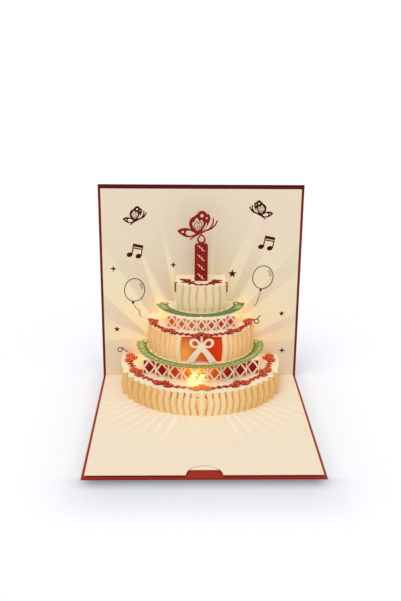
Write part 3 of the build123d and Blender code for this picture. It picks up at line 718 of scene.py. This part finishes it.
def tier_deck(tier, places, half, inner, setback=0.0):
    """The deck with its stepped edge, open in the middle where inner isn't 0, and its two tabs behind."""
    edge = deck_edge(tier, places, setback)
    centre, radius = tier.centre, tier.radius - tier.inset
    first = math.degrees(math.asin(edge[0][0] / radius))
    back = 90 + math.degrees(math.asin(min(1.0, (wall_face - centre) / radius)))
    if half < radius:
        left = [(-half, wall_face), (-half, on_circle(centre, radius, half))]
    else:
        left = arc(centre, radius, -back, first, 12)
    loop = left + edge + [(-point[0], point[1]) for point in left[::-1]]
    if inner:
        loop += [(inner, wall_face), (inner, centre - inner), (-inner, centre - inner), (-inner, wall_face)]
    deck = [flat([loop], tier.top - sheet)]
    near, far = (inner or half - closed_tab) + tab_margin, min(half, radius) - tab_margin
    for side in (-1, 1):
        ends = sorted((side * near, side * far))
        deck.append(upright([box_loop(*ends, tier.top - tab_drop, tier.top - sheet)], wall_face - sheet))
    return deck


def mirrored(places):
    """The places and the same to the left, from left to right."""
    return sorted([(-x, width) for x, width in places if x] + list(places))


def in_a_row(tier, first, count):
    """Strips at the tier's pitch as (x, width)."""
    return [(first + tier.pitch * step, tier.pitch - tier.slot) for step in range(count)]


# Bow of the middle tier: two round loops that lean up, a knot, a neck up to the deck, and two tails with
# forked ends
knot_drop, knot_width, knot_height, neck_half, bow_lean = 6.9, 3.6, 3.4, 0.7, 14
# How much further back the deck's edge lies over the window
window_setback = 1.6
bow_loop = ((0.0, 0.2), (2.4, 3.2), (5.8, 4.6), (8.9, 3.0), (8.8, -0.2), (5.8, -2.4), (2.2, -1.4))
bow_hole = ((2.8, 0.6), (4.3, 2.5), (6.2, 2.9), (7.2, 1.5), (6.4, -0.4), (4.5, -0.9))
bow_tail = (
    (-0.3, 0.6), (2.2, -0.6), (6.0, -4.8), (12.0, -13.3),
    (8.8, -11.3), (6.2, -13.3), (2.2, -6.6), (-0.3, -3.6),
)


def bow(front):
    """The bow as one upright sheet."""
    knot = middle.top - knot_drop
    parts = []
    for side in (-1, 1):
        turn = Matrix.Rotation(math.radians(side * bow_lean), 2)
        loops = []
        for points, corners in ((bow_loop, (0,)), (bow_hole, ())):
            line = smooth(points, corners)
            loops.append([turn @ Vector((side * p.x, p.y)) + Vector((0, knot)) for p in line])
        parts.append(upright(loops, front))
        tail = smooth(bow_tail, (0, 3, 4, 5, 7))
        parts.append(upright([[(side * p.x, knot + p.y) for p in tail]], front))
    parts.append(upright([ellipse((0, knot), knot_width, knot_height)], front))
    parts.append(upright([box_loop(-neck_half, neck_half, knot, middle.top - tuck)], front))
    return united(parts)


def tiers():
    first = bottom.pitch + bottom.wave / 2
    places = mirrored([(0, bottom.pitch - bottom.slot)] + in_a_row(bottom, first, bottom_strips))
    parts = strips_wall(bottom, places)
    parts += tier_deck(bottom, places, bottom.radius, bottom_inner)
    piece("bottom_tier_deck", joined(parts), cake_paper, "cake_paper")

    first = window_half + post + middle.slot + (middle.pitch - middle.slot) / 2
    strips = mirrored([(window_half + post / 2, post)] + in_a_row(middle, first, middle_strips))
    parts = strips_wall(middle, strips)
    open_width = window_half - neck_half
    open_x = neck_half + open_width / 2
    places = sorted(strips + [(-open_x, open_width), (0, 2 * neck_half), (open_x, open_width)])
    parts += tier_deck(middle, places, middle.radius, middle_inner, window_setback)
    parts.append(bow(middle.centre - middle.radius))
    piece("middle_tier_deck", joined(parts), cake_paper, "cake_paper")

    first = top_middle / 2 + top.wave / 2 + top.slot + (top.pitch - top.slot) / 2
    places = mirrored([(0, top_middle)] + in_a_row(top, first, top_strips))
    parts = strips_wall(top, places, still_pleat_paper)
    parts += tier_deck(top, places, top_half, 0)
    piece("top_tier_deck", joined(parts), cake_paper, "cake_paper")


tiers()


# Leafy rings: a band with lobed leaves along it, parted by pale slits, and a spray of leaves at each end

# How far a ring reaches under its tier, the width of its band and of the rim past that, and its steps
wreath_under, wreath_band, band_over, band_steps = 4.0, 3.6, 0.4, 72
# How far leaves tilt at random, in degrees, and the width of the pale rim round each
leaf_tilt, leaf_rim = 3, 0.5
# Size of a leaf in front, how much more at the ends and how far it draws back as it grows; lean, reach past
# the band and lift of the inner and the outer leaves
leaf_size, leaf_growth, leaf_draw, leaf_rows = 0.8, 0.5, 0.8, ((26, 0.3, 0.0), (38, 1.3, 0.12))
leaf_thick, edge_thick, ring_lift = 0.2, 0.1, 0.05
# Leaves at each end of a ring: how far each turns on from outwards, in degrees, and its size; then how far
# they reach past the band and their lift
end_leaves = ((10, 1.1), (48, 1.15), (85, 1.1), (118, 0.95))
end_reach, end_lift = -1.2, 0.24
# Heights over the deck of a leaf's pale edge, its green sheet and its slit
leaf_levels = {"pale": 0.08, "green": 0.5, "slit": 0.62}
# Right half of a lobed leaf along Y
lobed_leaf = (
    (0.0, -2.8), (0.6, -1.6), (1.5, -1.3), (1.0, -0.3), (1.9, 0.7),
    (1.1, 1.2), (1.6, 2.5), (0.6, 2.9), (0.0, 4.5),
)
# A pale slit along a leaf, wider towards its tip, with a short branch on one side
leaf_slit = (
    [(-0.1, -1.9), (0.1, -1.9), (0.3, 1.6), (0.2, 4.0), (-0.2, 4.0), (-0.3, 1.6)],
    [(0.42, 0.1), (1.5, 1.3), (1.2, 1.6), (0.42, 0.8)],
)


def leaf_mesh(outline, thick, rim=0.0):
    """A leaf from the right half of its outline, larger all round by the rim."""
    right = [(x + rim if x else 0.0, y + (rim if place else -rim)) for place, (x, y) in enumerate(outline)]
    return cut_sheet("leaf", [right + [(-x, y) for x, y in right[-2:0:-1]]], thick)


def wreath(tier, leaves, low, end_forward, node, seed, slit_from=0.0):
    """A ring round a tier's foot. Its ends lie a little before the tier's centre, or behind it."""
    half_angle = 90 + math.degrees(math.asin(-end_forward / tier.radius))
    edge = tier.radius + wreath_band
    rim = arc(tier.centre, edge + band_over, -half_angle, half_angle, band_steps)
    ring = rim + arc(tier.centre, tier.radius - wreath_under, half_angle, -half_angle, band_steps)
    spots = []
    for step in range(leaves):
        degrees = half_angle * (2 * (step + 0.5) / leaves - 1)
        lean, reach, lift = leaf_rows[step % 2]
        size = leaf_size + leaf_growth * (degrees / half_angle) ** 2
        spot = polar(tier.centre, edge + reach - leaf_draw * (size - leaf_size), degrees)
        turn = degrees + 180 + (lean if degrees > 0 else -lean)
        spots.append((spot, turn, size, lift, abs(degrees) > slit_from))
    for side in (-1, 1):
        for turn, size in end_leaves:
            spot = polar(tier.centre, edge + end_reach, side * half_angle)
            spots.append((spot, side * (half_angle + turn) + 180, size, end_lift, True))
    levels = {"pale": [], "green": [], "slit": []}
    for spot, turn, size, lift, slit in spots:
        for level, rise in leaf_levels.items():
            if slit or level != "slit":
                height = low + (rise if level == "pale" else rise + lift)
                levels[level].append(((spot.x, spot.y, height), turn, size))
    green = repeats(leaf_mesh(lobed_leaf, leaf_thick), levels["green"], wreath_paper, leaf_tilt, seed)
    leafy = joined([flat([ring], low + ring_lift), green])
    piece(node + "_leaves", leafy, wreath_paper, "wreath_paper", node)
    larger = leaf_mesh(lobed_leaf, edge_thick, leaf_rim)
    pale = repeats(larger, levels["pale"], leaf_edge_paper, leaf_tilt / 3, seed)
    slit = cut_sheet("slit", leaf_slit, edge_thick)
    slits = repeats(slit, levels["slit"], leaf_edge_paper, leaf_tilt, seed)
    piece(node + "_leaves_edges", joined([pale, slits]), leaf_edge_paper, "wreath_paper")


wreath(middle, leaves=58, low=lower_deck_top, end_forward=-3.5, node="lower_wreath", seed=3)
wreath(top, leaves=38, low=upper_deck_top, end_forward=2.7, node="upper_wreath", seed=5, slit_from=55.0)


# Garlands: a vine that sways along a tier's edge, jagged leaves and clusters of three flowers

# How far each point of a vine sways out, its width, and the size, lean in degrees and lift of its leaves
vine_sway = (0.0, 0.5, 0.2, -0.5, -0.2, 0.4)
vine_width, vine_leaf_size, vine_leaf_lean, leaf_lift = 1.5, 0.85, 48, 0.42
jagged_leaf = (
    (0.0, 0.0), (0.7, 0.6), (1.3, 1.0), (0.8, 1.4), (1.4, 2.1), (0.7, 2.4), (0.9, 3.2), (0.0, 4.4),
)
# Thickness of a leaf, and how far leaves and flowers tilt at random, in degrees
garland_leaf_thick, garland_leaf_tilt, flower_tilt = 0.25, 6, 5
# Flowers of a cluster: lifts of the side ones and the middle one, how far the side ones turn, and how far
# out and how far apart they lie in shares of their size
side_flower_lift, middle_flower_lift, flower_turn = 0.6, 0.75, 17
side_flower_out, middle_flower_out, flowers_apart = 0.3, -0.5, 1.15
# Petal and its pale mark on a flower with a radius of 1, cupped up towards its tip
petal_count, petal_cup, petal_mark = 6, 0.12, ((0.64, 0.0), 0.34, 0.2, 8)
petal_thick, mark_thick, mark_rise = 0.09, 0.02, 0.065
petal = ((0.12, 0.0), (0.3, 0.17), (0.74, 0.38), (1.0, 0.14), (1.0, -0.14), (0.74, -0.38), (0.3, -0.17))


def all_round(loop):
    """The loop once for each petal."""
    turns = [Matrix.Rotation(math.tau * step / petal_count, 2) for step in range(petal_count)]
    return [[turn @ point for point in loop] for turn in turns]


def cupped(mesh, rise=0.0):
    """The mesh raised, and more so the further out a point lies."""
    for vertex in mesh.vertices:
        vertex.co.z += rise + petal_cup * vertex.co.to_2d().length_squared
    return mesh


def bloom_parts(flowers, leaves, seed):
    """Leaves and flowers at their places: the red meshes and the pale marks."""
    leaf = leaf_mesh(jagged_leaf, garland_leaf_thick)
    red = [repeats(leaf, leaves, garland_paper, garland_leaf_tilt, seed)]
    petals = [cut_sheet("petal", [loop], petal_thick) for loop in all_round(smooth(petal, steps=3))]
    red.append(repeats(cupped(joined(petals)), flowers, garland_paper, flower_tilt, seed + 2))
    marks = cupped(cut_sheet("marks", all_round(ellipse(*petal_mark)), mark_thick), mark_rise)
    return red, repeats(marks, flowers, petal_edge_paper, flower_tilt, seed + 2)


def garland(tier, back, clusters, step, size, middle_size, node, seed):
    """A garland that lies on a tier's deck, back from its edge, with clusters at every step in degrees."""
    radius = tier.radius - back
    every = len(vine_sway)
    count = 2 * clusters * every
    line = []
    for place in range(count + 1):
        degrees = clusters * step * (2 * place / count - 1)
        line.append(polar(tier.centre, radius + vine_sway[place % every], degrees))
    leaves, flowers = [], []
    for place, spot in enumerate(line):
        degrees = clusters * step * (2 * place / count - 1)
        lean = vine_leaf_lean if degrees > 0 else -vine_leaf_lean
        if place % every:
            for turn in (180 - lean, lean):
                leaves.append(((spot.x, spot.y, tier.top + leaf_lift), degrees + turn, vine_leaf_size))
            continue
        bloom = size if abs(degrees) > 1 else middle_size
        apart = math.degrees(flowers_apart * bloom / radius)
        for side in (-1, 0, 1):
            out = side_flower_out if side else middle_flower_out
            heart = polar(tier.centre, radius + out * bloom, degrees + side * apart)
            height = tier.top + (side_flower_lift if side else middle_flower_lift)
            flowers.append(((heart.x, heart.y, height), degrees + flower_turn * side, bloom))
    red, marks = bloom_parts(flowers, leaves, seed)
    vine = flat([stroke(line, vine_width, 0.8, 2)], tier.top)
    piece(node + "_flowers", joined([vine] + red), garland_paper, "garland_paper", node)
    piece(node + "_marks", marks, petal_edge_paper, "garland_paper")


# Top garland: a vine that dips in front of the candle, with a spray of long leaves at each end
top_vine = ((-8.8, 60.2), (-7.0, 55.0), (-3.6, 50.4), (0.0, 49.0), (3.8, 50.2), (7.2, 54.0), (9.4, 59.4))
top_vine_width, top_flower_lift, top_flower_turn = 1.7, 0.7, 20
top_leaves = (
    ((-8.2, 59.0), 66, 1.9), ((-7.8, 56.6), 100, 1.7), ((-6.8, 54.4), 150, 1.2), ((-5.0, 51.8), 40, 1.1),
    ((8.8, 58.2), -66, 1.9), ((8.2, 55.8), -100, 1.7), ((7.2, 53.6), -150, 1.2), ((5.4, 51.4), -40, 1.1),
    ((-1.8, 49.2), 100, 0.8), ((1.8, 49.2), -100, 0.8),
)
top_flowers = (
    ((-9.4, 58.8), 2.3), ((-6.4, 53.8), 1.7), ((9.8, 58.0), 2.3), ((6.8, 53.2), 1.7), ((0.2, 49.0), 1.2),
)
# Red tabs that hang at the sides of the top tier: their width and how far they lean out, then the width of
# the shelf that holds each and how far it stops short of the tab's ends
side_tab, side_lean, shelf_width, shelf_short = 3.0, 0.8, 0.995, 0.5


def top_garland():
    leaves = [((x, y, top.top + leaf_lift), turn, size) for (x, y), turn, size in top_leaves]
    flowers = [((x, y, top.top + top_flower_lift), top_flower_turn, size) for (x, y), size in top_flowers]
    trim, marks = bloom_parts(flowers, leaves, seed=31)
    trim.append(flat([stroke(top_vine, top_vine_width, 0.8)], top.top))
    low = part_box("top_garland")[0].z / mm
    near = on_circle(top.centre, top.radius, top_half - sheet)
    far = near + side_tab
    outer = top_half + sheet
    for side in (-1, 1):
        tab = [(top_half, near), (outer, near), (outer + side_lean, far), (top_half + side_lean, far)]
        trim.append(flat([[(side * x, y) for x, y in tab]], low, top.top - low))
        reach = sorted((side * (top_half - shelf_width), side * outer))
        trim.append(flat([box_loop(*reach, near + shelf_short, far - shelf_short)], top.top))
    piece("top_garland_leaves", joined(trim), garland_paper, "garland_paper", "top_garland")
    piece("top_garland_marks", marks, petal_edge_paper, "garland_paper")


garland(bottom, back=7.5, clusters=3, step=30.6, size=3.5, middle_size=3.3, node="lower_garland", seed=11)
garland(middle, back=3.2, clusters=2, step=38.5, size=2.9, middle_size=3.1, node="middle_garland", seed=21)
top_garland()


# Butterfly, seen from the side with both wings raised, in shares of its span and height

forewing = (
    (-0.1, 0.03), (-0.26, 0.17), (-0.31, 0.33), (-0.29, 0.5), (-0.2, 0.6), (-0.12, 0.68), (-0.05, 0.77),
    (0.03, 0.79), (0.1, 0.75), (0.13, 0.68), (0.17, 0.69), (0.21, 0.62), (0.22, 0.52), (0.19, 0.4),
    (0.13, 0.27), (0.05, 0.14),
)
forewing_cell = (
    (-0.1, 0.12), (-0.2, 0.26), (-0.23, 0.38), (-0.175, 0.45), (-0.13, 0.55), (-0.09, 0.52), (-0.055, 0.44),
    (0.0, 0.49), (0.045, 0.4), (0.03, 0.3), (-0.05, 0.16),
)
forewing_slot = ((0.015, 0.15), (0.075, 0.27), (0.13, 0.42), (0.125, 0.3), (0.075, 0.19))
hindwing = (
    (-0.09, 0.01), (-0.2, 0.12), (-0.31, 0.2), (-0.43, 0.22), (-0.53, 0.19), (-0.615, 0.12),
    (-0.53, 0.02), (-0.43, -0.06), (-0.32, -0.095), (-0.21, -0.06),
)
hindwing_cell = ((-0.16, 0.03), (-0.28, 0.13), (-0.36, 0.13), (-0.4, 0.06), (-0.36, -0.02), (-0.28, -0.035))
# Lines with their width and taper: three veins, then the body and two antennae
vein_lines = (
    (((-0.12, 0.17), (-0.18, 0.3), (-0.155, 0.38), (-0.11, 0.43), (-0.07, 0.37), (-0.02, 0.42), (0.01, 0.35),
      (-0.03, 0.22)), 0.022, 0.6),
    (((-0.09, 0.12), (-0.1, 0.22), (-0.1, 0.34)), 0.018, 0.6),
    (((-0.08, 0.12), (-0.055, 0.22), (-0.045, 0.34)), 0.018, 0.6),
)
body_lines = (
    (((-0.29, -0.18), (-0.19, -0.07), (-0.09, 0.01), (0.06, 0.1), (0.2, 0.2)), 0.042, 0.5),
    (((0.19, 0.185), (0.26, 0.3), (0.295, 0.42), (0.29, 0.56)), 0.038, 0.55),
    (((0.1, 0.12), (0.24, 0.2), (0.34, 0.32), (0.4, 0.48)), 0.038, 0.55),
)


def butterfly(span, height, flip, x, z, bold=1.0):
    """Groups of loops: wings with pale cells and dots, veins, and a body and antennae, bolder if asked."""
    def wide(points):
        return [(x + flip * across * span, z + up * height) for across, up in points]

    def dot(across, up, width):
        return ellipse(wide([(across, up)])[0], width * span, width * span, 12)

    fore = [
        smooth(wide(forewing), corners=(0, 9)), smooth(wide(forewing_cell)),
        smooth(wide(forewing_slot), corners=(0, 2)), dot(0.01, 0.63, 0.085), dot(0.13, 0.55, 0.05),
    ]
    hind = [smooth(wide(hindwing), corners=(0, 5)), smooth(wide(hindwing_cell)), dot(-0.47, 0.09, 0.06)]
    veins = [[stroke(wide(points), width * span, taper)] for points, width, taper in vein_lines]
    body = [[stroke(wide(points), width * bold * span, taper)] for points, width, taper in body_lines]
    return [fore, hind] + veins + body


# Candle, flame loop and butterfly, cut from one dark red sheet

candle_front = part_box("candle_topper")[0].y / mm
# Half the candle's width, its height, and the radius of its upper corners
candle_half, candle_high, candle_round, round_steps = 4.8, 28.4, 1.8, 6
# Zigzag slots one over the other: how many, their size, and their outline in shares of it
zigzags, zigzag_width, zigzag_height = 4, 5.6, 5.2
zigzag = (
    (-0.5, 0.44), (-0.14, 0.3), (-0.1, 0.02), (0.14, 0.1), (0.2, -0.26), (0.5, -0.4),
    (0.4, -0.5), (0.04, -0.34), (-0.02, -0.04), (-0.26, -0.02), (-0.3, 0.24), (-0.5, 0.3),
)
flame = ((0, 0), (2.2, 0.9), (3.1, 3.0), (2.1, 5.6), (0, 7.6), (-2.1, 5.6), (-3.1, 3.0), (-2.2, 0.9))
flame_hole = ((0, 1.4), (1.4, 2.0), (1.9, 3.4), (1.2, 5.1), (0, 6.1), (-1.2, 5.1), (-1.9, 3.4), (-1.4, 2.0))
# The flame dips into the candle, the wick joins both, and the butterfly's foot rests on the flame
flame_dip, wick_half, wick_low, wick_high = 0.5, 1.2, 0.4, 0.9
# The butterfly's span and height, and how high its middle stands over the candle
topper_span, topper_height, topper_rise = 28.5, 22.0, 6.4


def candle():
    """The candle with its zigzag slots, the flame loop, the butterfly on it, and the foot on the deck."""
    low, high = top.top, top.top + candle_high
    body = [(-candle_half, low), (candle_half, low)]
    for corner, first in ((candle_half - candle_round, 0), (candle_round - candle_half, 90)):
        for step in range(round_steps + 1):
            angle = math.radians(first + 90 * step / round_steps)
            drop = candle_round * (1 - math.sin(angle))
            body.append((corner + candle_round * math.cos(angle), high - drop))
    loops = [body]
    for mark in range(zigzags):
        spot = low + (mark + 0.5) * candle_high / zigzags
        loops.append([(x * zigzag_width, spot + z * zigzag_height) for x, z in zigzag])
    burning = []
    for loop in (smooth(flame, (4,)), smooth(flame_hole)):
        burning.append([(x, high - flame_dip + z) for x, z in loop])
    parts = [upright(loops, candle_front)]
    parts.append(upright(burning, candle_front))
    parts.append(upright([box_loop(-wick_half, wick_half, high - wick_low, high + wick_high)], candle_front))
    wings = butterfly(topper_span, topper_height, 1, 0.0, high + topper_rise)
    parts += [upright(group, candle_front) for group in wings]
    topper = united(parts)
    foot = flat([box_loop(-candle_half, candle_half, candle_front, candle_front + foot_length)], low)
    piece("candle_sheet", joined([topper, foot]), candle_paper, "candle_paper", "candle_topper")


candle()


# Prints on the upright page: thin layers of ink

ink = 0.05
note = [
    [ellipse((-3.6, -3.7), 4.4, 3.5, 16, 18)],
    [ellipse((3.0, -4.8), 4.4, 3.5, 16, 18)],
    [
        [
            (-2.3, -3.6), (-1.4, -3.6), (-0.6, 1.1), (5.4, 0.0),
            (4.5, -4.6), (5.4, -4.6), (6.8, 3.4), (-0.7, 4.9),
        ],
        [(-0.3, 2.6), (5.8, 1.4), (5.65, 0.8), (-0.45, 2.0)],
    ],
]
balloon = [
    [ellipse((0, 0), 15.8, 18.6, 40, -8), ellipse((0, 0), 14.6, 17.4, 40, -8)],
    [stroke(((4.2, 6.0), (5.8, 3.6), (6.1, 0.4)), 0.45)],
    [stroke(((3.2, 5.4), (4.6, 3.2), (4.9, 0.6)), 0.35)],
    [[(-2.6, -10.6), (-1.2, -11.0), (-0.2, -10.3), (-1.0, -9.1), (-1.8, -9.1)]],
]
# Strings of the two balloons, in their places
strings = (
    ((-50.9, 61.6), (-48.6, 57.4), (-46.2, 55.6), (-46.4, 52.8), (-43.9, 49.8)),
    ((45.4, 71.4), (44.8, 67.6), (43.4, 64.4), (43.0, 61.8), (40.8, 58.6)),
)
# Round loop of a curl; the right one has two wavy ends and the left one a tail
curl_loop = [[ellipse((0, 0), 4.2, 4.0, 20), ellipse((0, 0), 2.9, 2.7, 20)]]
curl_ends = [
    [stroke(((-4.4, 0.4), (-3.0, 1.3), (-1.4, 1.4)), 0.7)],
    [stroke(((-0.6, 1.6), (1.0, 2.6), (2.0, 4.2), (3.2, 4.6)), 0.7)],
]
curl_tail = [[stroke(((-0.2, 1.6), (1.8, 1.5), (3.2, 0.2), (4.8, -1.2), (6.4, -1.6)), 0.7)]]
# How far a star's inner corners reach, as a share of its points
star_waist = 0.42
# Each print with its places (x, z)
print_places = (
    (note, ((-49.3, 103.2), (48.3, 109.6))),
    (balloon, ((-49.6, 72.0), (46.9, 82.2))),
    ([[stroke(string, 0.5)] for string in strings], ((0, 0),)),
    (curl_loop + curl_ends, ((43.3, 46.9),)),
    (curl_loop + curl_tail, ((-61.7, 23.5),)),
    ([[star(4, 2.6, 0.85)]], ((-65.2, 88.6), (-20.4, 91.7), (63.7, 22.9))),
    ([[star(5, 3.5, 3.5 * star_waist)]], ((23.8, 84.9),)),
    ([[star(5, 2.4, 2.4 * star_waist)]], ((-63.6, 40.4),)),
    ([[star(5, 2.3, 2.3 * star_waist)]], ((62.2, 53.3),)),
)
# Printed butterflies: their span, height and boldness, and for each its way and its place (x, z)
print_span, print_height, print_bold = 17.2, 14.4, 1.5
print_butterflies = ((1, -46.9, 124.8), (-1, 42.4, 129.4))


def prints():
    groups = []
    for flip, x, z in print_butterflies:
        groups += butterfly(print_span, print_height, flip, x, z, print_bold)
    for shapes, places in print_places:
        for x, z in places:
            groups += [[[(x + p[0], z + p[1]) for p in loop] for loop in group] for group in shapes]
    layers = [upright(group, wall_face - ink, ink) for group in groups]
    piece("page_prints", joined(layers), print_ink, "page_paper")


prints()


# Camera where the photograph's stood: place in millimetres, angles in degrees
camera_place = Vector((-13.91, -503.75, 260.01))
camera_pitch, camera_yaw, camera_roll = 18.74, 1.39, 0.53
camera = placed("camera", bpy.data.cameras.new("camera"))
camera.data.lens = 48.26
camera.data.sensor_width = 36.0
camera.matrix_world = (
    Matrix.Translation(camera_place * mm)
    @ Matrix.Rotation(-math.radians(camera_yaw), 4, "Z")
    @ Matrix.Rotation(math.radians(90 - camera_pitch), 4, "X")
    @ Matrix.Rotation(math.radians(camera_roll), 4, "Z")
)
bpy.context.scene.camera = camera

# White studio: a floor that keeps the shadow, an even sky and one broad lamp high on the left
floor_reach = 20.0
corners = [(x * floor_reach, y * floor_reach, 0) for x, y in box_loop(-1, 1, -1, 1)]
floor_mesh = bpy.data.meshes.new("floor")
floor_mesh.from_pydata(corners, [], [(0, 1, 2, 3)])
floor = placed("floor", floor_mesh)

# Painted shadows round the card on the floor, a broad one and a dark one at its edges: the colour, the
# distances from the card's box at which it starts and is full, the same for the distance aside, and its
# share beside the card and in front of it. Then where the front begins along Y, and how much brighter than
# it lights the floor is seen
floor_painted_shadows = (
    ("#A9B0BA", (60.0, 0.0), (100, 55), (0.12, 0.5)),
    ("#585C62", (14.0, -2.5), (79, 66), (0.15, 0.95)),
)
front_start, front_full = -72, -77
floor_lift = 0.05


def floor_paint():
    """Matt white paint with the painted shadows of the card, a little brighter in the picture than it
    lights.
    """
    material = blank("white_floor")
    tree = material.node_tree
    spot = add(tree, "ShaderNodeTexCoord").outputs["Object"]
    split = add(tree, "ShaderNodeSeparateXYZ", {0: spot})
    aside = add(tree, "ShaderNodeMath", {0: split}, operation="ABSOLUTE")
    beyond = spot
    for operation, second in (("ABSOLUTE", (0, 0, 0)), ("SUBTRACT", cad_box[1]), ("MAXIMUM", (0, 0, 0))):
        beyond = add(tree, "ShaderNodeVectorMath", {0: beyond, 1: second}, operation=operation)
    beyond = add(tree, "ShaderNodeVectorMath", {0: beyond}, operation="LENGTH")
    tone = linear("#F6F8FB")
    for colour, reach, width, shares in floor_painted_shadows:
        steps = []
        for value, (start, full) in (
            (split.outputs["Y"], (front_start, front_full)), (aside, width), (beyond, reach),
        ):
            steps.append(add(tree, "ShaderNodeMapRange", {
                "Value": value, "From Min": start * mm, "From Max": full * mm,
            }, interpolation_type="SMOOTHSTEP"))
        before = add(tree, "ShaderNodeMath", {0: steps[0], 1: steps[1]}, operation="MULTIPLY")
        share = add(tree, "ShaderNodeMapRange", {"Value": before, "To Min": shares[0], "To Max": shares[1]})
        factor = add(tree, "ShaderNodeMath", {0: steps[2], 1: share}, operation="MULTIPLY")
        tone = add(tree, "ShaderNodeMix", {
            "Factor": factor, "A": tone, "B": linear(colour),
        }, data_type="RGBA")
    seen = add(tree, "ShaderNodeLightPath").outputs["Is Camera Ray"]
    lift = add(tree, "ShaderNodeMath", {0: seen, 1: floor_lift}, operation="MULTIPLY")
    return surfaced(material, {
        "Base Color": tone, "Roughness": 0.9, "Emission Color": linear("#FFFFFF"), "Emission Strength": lift,
    })


floor_mesh.materials.append(floor_paint())

# The sky is white wherever it is seen, also in metal and through film, and gives a lower light
world = bpy.data.worlds.new("studio")
bpy.context.scene.world = world
world.use_nodes = True
sky = world.node_tree
sky.nodes.clear()
ray = add(sky, "ShaderNodeLightPath").outputs
seen = ray["Is Camera Ray"]
for kind in ("Is Glossy Ray", "Is Transmission Ray"):
    seen = add(sky, "ShaderNodeMath", {0: seen, 1: ray[kind]}, operation="MAXIMUM")
strength = add(sky, "ShaderNodeMapRange", {"Value": seen, "To Min": 0.66, "To Max": 1.0})
backdrop = add(sky, "ShaderNodeBackground", {"Color": linear("#FFFFFF"), "Strength": strength})
add(sky, "ShaderNodeOutputWorld", {"Surface": backdrop})

key = placed("key", bpy.data.lights.new("key", "SUN"))
key.data.energy = 1.25
key.data.angle = math.radians(40)
key.rotation_euler = (math.radians(23), 0, math.radians(-18))

# Warm lamps of the card: place, power in watts and radius
for name, place, power, radius in (
    ("lamp_left", (-5.6, 27.2, 22.0), 0.0012, 1.6),
    ("lamp_right", (1.0, 27.2, 22.0), 0.0006, 1.6),
    ("lamp_front", (-4.5, 20.0, 22.5), 0.0015, 2.0),
    ("bottom_glow", (0.0, 50.0, 12.0), 0.0160, 2.5),
    ("middle_glow", (0.0, 50.0, 43.0), 0.0100, 4.0),
    ("left_glow", (-43.0, 66.0, 27.0), 0.0016, 4.0),
    ("right_glow", (43.0, 66.0, 27.0), 0.0009, 4.0),
    ("upper_left_glow", (-27.0, 68.0, 58.0), 0.0010, 3.0),
    ("upper_right_glow", (27.0, 68.0, 58.0), 0.0010, 3.0),
):
    lamp = placed(name, bpy.data.lights.new(name, "POINT"))
    lamp.location = Vector(place) * mm
    lamp.data.energy = power
    lamp.data.shadow_soft_size = radius * mm
    lamp.data.color = linear("#FFCC7A")[:3]

bpy.context.scene.view_settings.view_transform = "Standard"
